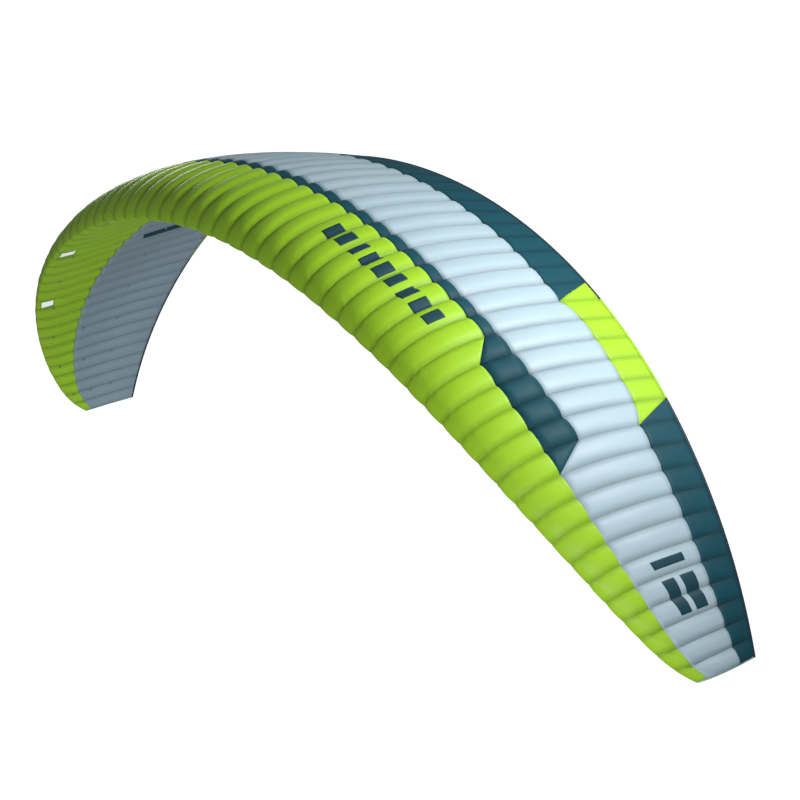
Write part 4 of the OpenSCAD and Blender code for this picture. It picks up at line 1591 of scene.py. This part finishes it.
@dataclass
class Intakes:
    """Air intakes: stiffening frames, hems round the openings and the cloth flaps behind them."""

    wing: Wing
    maker: Maker
    finishes: Finishes
    skin: float = 0.002
    frame_lift: float = 0.0009
    frame_t: float = 0.0015
    gap: float = 0.0003
    flap_t: float = 0.001
    flap_lap: float = 0.006
    flap_wave: float = 0.0003
    flap_wave_pitch: float = 0.011
    front_lap: float = 0.003
    hem_lift: float = 0.0006
    hem_width: float = 0.007

    def corner(self, cell: int, outboard: bool, x: float) -> Array:
        """A corner of an opening, on the inner face of the skin.

        Args:
            cell: The cell.
            outboard: Whether it is on the side of the tip.
            x: Share of the chord.

        Returns:
            The point.
        """
        wing = self.wing
        a = wing.rib_points(cell - 0.5, x, Face.LOWER, self.skin)
        b = wing.rib_points(cell + 0.5, x, Face.LOWER, self.skin)
        side = wing.intake_side
        return a + (b - a) * (1 - side if outboard else side)

    def axes(self, cell: int) -> tuple[Array, Array, Array, Array, float, float]:
        """Plane of an opening.

        Args:
            cell: The cell.

        Returns:
            Middle of its front edge, its span, chord and inward directions, and its width and length.
        """
        x0, x1 = self.wing.intake_front, self.wing.intake_rear
        a, b = self.corner(cell, False, x0), self.corner(cell, True, x0)
        c, d = self.corner(cell, False, x1), self.corner(cell, True, x1)
        span = (b - a) / np.linalg.norm(b - a)
        back = (c + d - a - b) / 2
        back = back - span * (back @ span)
        chord = back / np.linalg.norm(back)
        size = float(np.linalg.norm(b - a)), float(np.linalg.norm(back))
        return (a + b) / 2, span, chord, np.cross(span, chord), *size

    def flap(self, number: int, side: str) -> None:
        """Makes the thin flap that closes one intake from inside.

        Args:
            number: The intake, 1 nearest the middle.
            side: "right" or "left".
        """
        cell = self.wing.intake_cells[number - 1]
        origin, span, chord, inward, width, length = self.axes(cell)
        plane = self.frame_lift + self.frame_t + self.gap + self.flap_t / 2

        def surface(u: Array, v: Array) -> Array:
            """Places the points.

            Args:
                u: Places across, 0 to 1.
                v: Places along, 0 to 1.

            Returns:
                Points, one a row.
            """
            across = (2 * u - 1) * (width / 2 + self.flap_lap)
            along = -self.front_lap + v * (length + self.front_lap + self.flap_lap)
            wave = self.flap_wave * np.sin(across / self.flap_wave_pitch) * np.sin(v * math.pi)
            points = origin + np.outer(across, span) + np.outer(along, chord)
            points = points + np.outer(plane + wave, inward)
            points[:, 0] *= mirrored(1.0, side)
            return points

        bm, sides = shaped(24, 24, surface)
        if side == "right":
            bmesh.ops.reverse_faces(bm, faces=bm.faces)
        name, body = f"valve_cloth_{side}_{number}", f"intake_flap_{side}_{number}"
        obj = self.maker.piece(name, bm, self.finishes.valve, body, [body], "valve_cloth", CLOTH_T)
        declare_sheet(obj, sides, sides[0] * sides[1])

    def hem(self, cell: int, band: tuple[float, float, float, float], side: str) -> bmesh.types.BMesh:
        """One straight length of the tape round an opening.

        Args:
            cell: The cell.
            band: Its limits across the cell, 0 to 1, and then along the chord.
            side: "right" or "left".

        Returns:
            The tape's mesh.
        """

        def surface(u: Array, v: Array) -> Array:
            """Places the points.

            Args:
                u: Places across, 0 to 1.
                v: Places along, 0 to 1.

            Returns:
                Points, one a row.
            """
            x = band[2] + (band[3] - band[2]) * v
            place = band[0] + (band[1] - band[0]) * u
            cells = np.full(len(u), cell)
            points = self.wing.cloth(cells, place, (x, x), Face.LOWER, self.hem_lift)
            points[:, 0] *= mirrored(1.0, side)
            return points

        return shaped(12, 6, surface)[0]

    def hems(self) -> None:
        """Binds the edges of the openings with narrow tape."""
        wing = self.wing
        x0, x1, side = wing.intake_front, wing.intake_rear, wing.intake_side
        parts = []
        for side_of in SIDES:
            for cell in wing.intake_cells:
                width = wing.cell_widths[cell]
                chord = float(wing.chord(wing.station(cell)))
                across, along = self.hem_width / width, self.hem_width / chord
                bands = (
                    (side - across, 1 - side + across, x0 - along, x0),
                    (side - across, 1 - side + across, x1, x1 + along),
                    (side - across, side, x0, x1),
                    (1 - side, 1 - side + across, x0, x1),
                )
                parts += [self.hem(cell, band, side_of) for band in bands]
        whole = join(parts)
        bmesh.ops.reverse_faces(whole, faces=whole.faces)
        material = self.finishes.hem_tape
        self.maker.piece("intake_hems", whole, material, "canopy", [], "lime_ripstop", CLOTH_T)

    def build(self) -> None:
        """Makes every flap and hem and dresses the frames."""
        self.hems()
        self.maker.carry("intake_frames", self.finishes.white_tape)
        for side in SIDES:
            for number in range(1, len(self.wing.intake_cells) + 1):
                self.flap(number, side)


@dataclass
class Zip:
    """Deflation zip under the trailing edge: tapes, moulded teeth, slider and pull."""

    maker: Maker
    finishes: Finishes
    coil: tuple[float, float] = (0.005, 0.002)
    tooth_pitch: float = 0.0025
    tooth_length: float = 0.0016
    tooth_inset: tuple[float, float] = (0.001, 0.0001)
    tooth_offset: float = 0.0004
    tooth_round: float = 0.0003

    def teeth(self) -> None:
        """Moulds the rows of teeth along the coil's length."""
        low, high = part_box("zip_coil")
        # the coil's box and its two real sides give its slope, for it is turned with the lower skin
        wide, tall = self.coil
        slope = self.slope(high.y - low.y, high.z - low.z, wide, tall)
        turn = Matrix.Translation((low + high) / 2) @ Matrix.Rotation(slope, 4, "X")
        count = int((high.x - low.x) / self.tooth_pitch)
        bm = bmesh.new()
        for k in range(count):
            at = (k + 0.5 - count / 2) * self.tooth_pitch
            shift = self.tooth_offset if k % 2 else -self.tooth_offset
            sides = (self.tooth_length, wide - self.tooth_inset[0], tall - self.tooth_inset[1], 1)
            size = Matrix.Diagonal(sides)
            spot = turn @ Matrix.Translation((at, shift, 0)) @ size
            made = bmesh.ops.create_cube(bm, size=1.0, matrix=spot)
            edges = list({e for v in made["verts"] for e in v.link_edges})
            bmesh.ops.bevel(
                bm,
                geom=edges,
                offset=self.tooth_round,
                segments=1,
                profile=0.5,
                affect="EDGES",
                material=-1,
            )
        self.maker.piece("zip_teeth", bm, self.finishes.coil, "canopy", ["zip_coil"], "zip_plastic")

    @staticmethod
    def slope(depth: float, height: float, wide: float, tall: float) -> float:
        """Slope of a turned bar, from depth = wide cos + tall sin and height = wide sin + tall cos.

        Args:
            depth: Depth of its box.
            height: Height of its box.
            wide: Its own width.
            tall: Its own height.

        Returns:
            The slope in radians.
        """
        sine = (height * wide - depth * tall) / (wide**2 - tall**2)
        return math.asin(max(-1.0, min(1.0, sine)))

    def build(self) -> None:
        """Makes the teeth and dresses the rest."""
        self.teeth()
        for node, material in (
            ("zip_tape", self.finishes.webbing),
            ("zip_slider", self.finishes.zinc),
            ("zip_pull", self.finishes.webbing),
        ):
            self.maker.carry(node, material)


@dataclass
class Prints:
    """Plain printed bars on the cloth."""

    wing: Wing
    maker: Maker
    finishes: Finishes
    lift: float = 0.0009
    row_count: int = 9
    row_ribs: tuple[float, float] = (7.15, 13.55)
    row_x: tuple[float, float] = (0.182, 0.262)
    row_fill: float = 0.62
    tip_bars: tuple[tuple[float, float, float, float], ...] = (
        (24.85, 25.2, 0.33, 0.58),
        (25.7, 27.3, 0.33, 0.43),
        (25.7, 27.3, 0.48, 0.6),
    )
    under_bar: tuple[float, float, float, float] = (-13.85, -13.45, 0.5, 0.72)

    def bar(self, ribs: tuple[float, float], xs: tuple[float, float], face: Face) -> bmesh.types.BMesh:
        """One bar of one half.

        Args:
            ribs: Rib numbers of its two ends, negative on the left.
            xs: Shares of the chord of its two sides.
            face: Face of the wing.

        Returns:
            The bar's mesh.
        """
        side = -1.0 if ribs[0] < 0 else 1.0
        low, high = sorted(abs(r) for r in ribs)
        steps = max(6, round((high - low) * 16))

        def surface(u: Array, v: Array) -> Array:
            """Places the points.

            Args:
                u: Places across, 0 to 1.
                v: Places along, 0 to 1.

            Returns:
                Points, one a row.
            """
            reach = low + (high - low) * u
            cell = np.floor(reach + 0.5).astype(int)
            x = xs[0] + (xs[1] - xs[0]) * v
            points = self.wing.cloth(cell, reach - cell + 0.5, (x, x), face, self.lift)
            points[:, 0] *= side
            return points

        bm, _ = shaped(steps, 10, surface, hem=False)
        if (side < 0) != (face is Face.LOWER):
            bmesh.ops.reverse_faces(bm, faces=bm.faces)
        return bm

    def build(self) -> None:
        """Prints a row of bars on the nose, three near the right tip and one under the left half."""
        first, last = self.row_ribs
        pitch = (last - first) / self.row_count
        starts = [first + k * pitch for k in range(self.row_count)]
        ends = [first + (k + self.row_fill) * pitch for k in range(self.row_count)]
        row = [self.bar(ribs, self.row_x, Face.UPPER) for ribs in zip(starts, ends)]
        tip = [self.bar(bar[:2], bar[2:], Face.UPPER) for bar in self.tip_bars]
        under = [self.bar(self.under_bar[:2], self.under_bar[2:], Face.LOWER)]
        for name, parts in (("nose_print", row), ("tip_print", tip), ("under_print", under)):
            ink = self.finishes.ink
            self.maker.piece(name, join(parts), ink, "canopy", [], "teal_ripstop", PRINT_T)


# ---- Studio -----------------------------------------------------------------------------------


Place = tuple[float, float, float]


def direction(azimuth: float, elevation: float) -> Vector:
    """Direction from the middle of the kite outwards.

    Args:
        azimuth: Degrees from the front, -Y, towards +X.
        elevation: Degrees above level.

    Returns:
        Its unit vector.
    """
    az, el = math.radians(azimuth), math.radians(elevation)
    return Vector((math.sin(az) * math.cos(el), -math.cos(az) * math.cos(el), math.sin(el)))


@dataclass(frozen=True)
class Sun:
    """Soft light that comes from one direction, in degrees, spread over an angle."""

    name: str
    azimuth: float
    elevation: float
    strength: float
    spread: float

    def build(self) -> None:
        """Makes the lamp and turns it."""
        light = bpy.data.lights.new(self.name, "SUN")
        light.energy = self.strength
        light.angle = math.radians(self.spread)
        lamp = bpy.data.objects.new(self.name, light)
        back = direction(self.azimuth, self.elevation)
        lamp.rotation_euler = back.to_track_quat("Z", "Y").to_euler()
        bpy.context.scene.collection.objects.link(lamp)


@dataclass(frozen=True)
class Softbox:
    """Round lamp at a place, turned to shine on a point; its size is in metres and its power in watts."""

    name: str
    place: Place
    aim: Place
    size: float
    power: float

    def build(self) -> None:
        """Makes the lamp and turns it."""
        light = bpy.data.lights.new(self.name, "AREA")
        light.shape = "DISK"
        light.size = self.size
        light.energy = self.power
        lamp = bpy.data.objects.new(self.name, light)
        lamp.location = self.place
        lamp.rotation_euler = (Vector(self.place) - Vector(self.aim)).to_track_quat("Z", "Y").to_euler()
        lamp.visible_camera = False
        bpy.context.scene.collection.objects.link(lamp)


@dataclass(frozen=True)
class Studio:
    """Camera, floor, light and the air around."""

    azimuth: float = 63.04
    elevation: float = 17.1
    distance: float = 18.376
    target: Place = (0.0, 0.877, -1.517)
    roll: float = -10.41
    lens: float = 115.8
    sensor: float = 36.0
    shift: tuple[float, float] = (0.0624, -0.0052)
    sight: float = 600.0
    floor_drop: float = 14.0
    floor_radius: float = 200.0
    sky: str = "#f4f8ff"
    sky_strength: float = 0.19
    lights: tuple[Sun | Softbox, ...] = (
        Softbox("key_light", (4.6, 3.0, 2.3), (1.0, 0.6, 0.0), 1.2, 270.0),
        Softbox("tip_light", (5.9, -2.4, -1.2), (4.0, 0.0, -1.8), 0.7, 48.0),
        Sun("front_fill_light", 56.0, -10.0, 0.95, 24.0),
        Softbox("left_light", (-7.5, 2.6, 0.8), (-3.8, 0.7, -1.0), 2.0, 90.0),
        Sun("floor_bounce_light", 68.0, -57.0, 0.3, 60.0),
    )

    def camera(self) -> None:
        """Stands the camera at its angle and distance, rolled about its own axis."""
        data = bpy.data.cameras.new("camera")
        data.lens = self.lens
        data.sensor_width = self.sensor
        data.shift_x, data.shift_y = self.shift
        data.clip_end = self.sight
        camera = bpy.data.objects.new("camera", data)
        back = direction(self.azimuth, self.elevation)
        roll = Matrix.Rotation(math.radians(self.roll), 3, "Z")
        turn = back.to_track_quat("Z", "Y").to_matrix() @ roll
        spot = Matrix.Translation(Vector(self.target) + back * self.distance)
        camera.matrix_world = spot @ turn.to_4x4()
        bpy.context.scene.collection.objects.link(camera)
        bpy.context.scene.camera = camera

    def floor(self, material: bpy.types.Material) -> None:
        """Lays the floor, which runs up into a dome of the same paint, so no edge of it shows.

        Args:
            material: The paint.
        """
        bm = bmesh.new()
        bmesh.ops.create_uvsphere(bm, u_segments=64, v_segments=32, radius=self.floor_radius)
        whole = [*bm.verts, *bm.edges, *bm.faces]
        bmesh.ops.bisect_plane(bm, geom=whole, plane_co=(0, 0, 0), plane_no=(0, 0, 1), clear_inner=True)
        bmesh.ops.holes_fill(bm, edges=[e for e in bm.edges if e.is_boundary], sides=0)
        bmesh.ops.translate(bm, verts=bm.verts, vec=(0, 0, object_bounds()[0][2] - self.floor_drop))
        bmesh.ops.recalc_face_normals(bm, faces=bm.faces)
        bmesh.ops.reverse_faces(bm, faces=bm.faces)
        mesh = bpy.data.meshes.new("floor")
        bm.to_mesh(mesh)
        bm.free()
        mesh.materials.append(material)
        floor = bpy.data.objects.new("floor", mesh)
        # it only shows: the kite's light comes from the lamps and the sky
        floor.visible_diffuse = False
        floor.visible_glossy = False
        floor.visible_shadow = False
        bpy.context.scene.collection.objects.link(floor)
        floor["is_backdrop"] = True

    def build(self, paint: bpy.types.Material) -> None:
        """Makes the camera, the floor, the sky and the lights.

        Args:
            paint: The floor's material.
        """
        scene = bpy.context.scene
        self.camera()
        self.floor(paint)
        world = bpy.data.worlds.new("studio")
        world.use_nodes = True
        background = world.node_tree.nodes["Background"]
        background.inputs["Color"].default_value = linear(self.sky)
        background.inputs["Strength"].default_value = self.sky_strength
        scene.world = world
        scene.view_settings.view_transform = "Standard"
        for light in self.lights:
            light.build()


# ---- The kite ---------------------------------------------------------------------------------


def main() -> None:
    """Builds the studio and the kite, one sub-assembly after another."""
    logging.basicConfig(level=logging.INFO, format="%(name)s: %(message)s")
    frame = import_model()
    finishes = Finishes()
    Studio().build(finishes.floor)
    wing = Wing()
    maker = Maker(frame["nodes"])
    Inside(wing, maker, finishes).build()
    Skins(wing, Layout(wing), maker, finishes).build()
    Edges(wing, maker, finishes).build()
    Intakes(wing, maker, finishes).build()
    Zip(maker, finishes).build()
    Prints(wing, maker, finishes).build()
    for row in ("front", "middle", "rear", "brake"):
        maker.carry(f"{row}_loops", finishes.loop_webbing)
    log.info("%d pieces", len(maker.made))


if __name__ == "__main__":
    main()
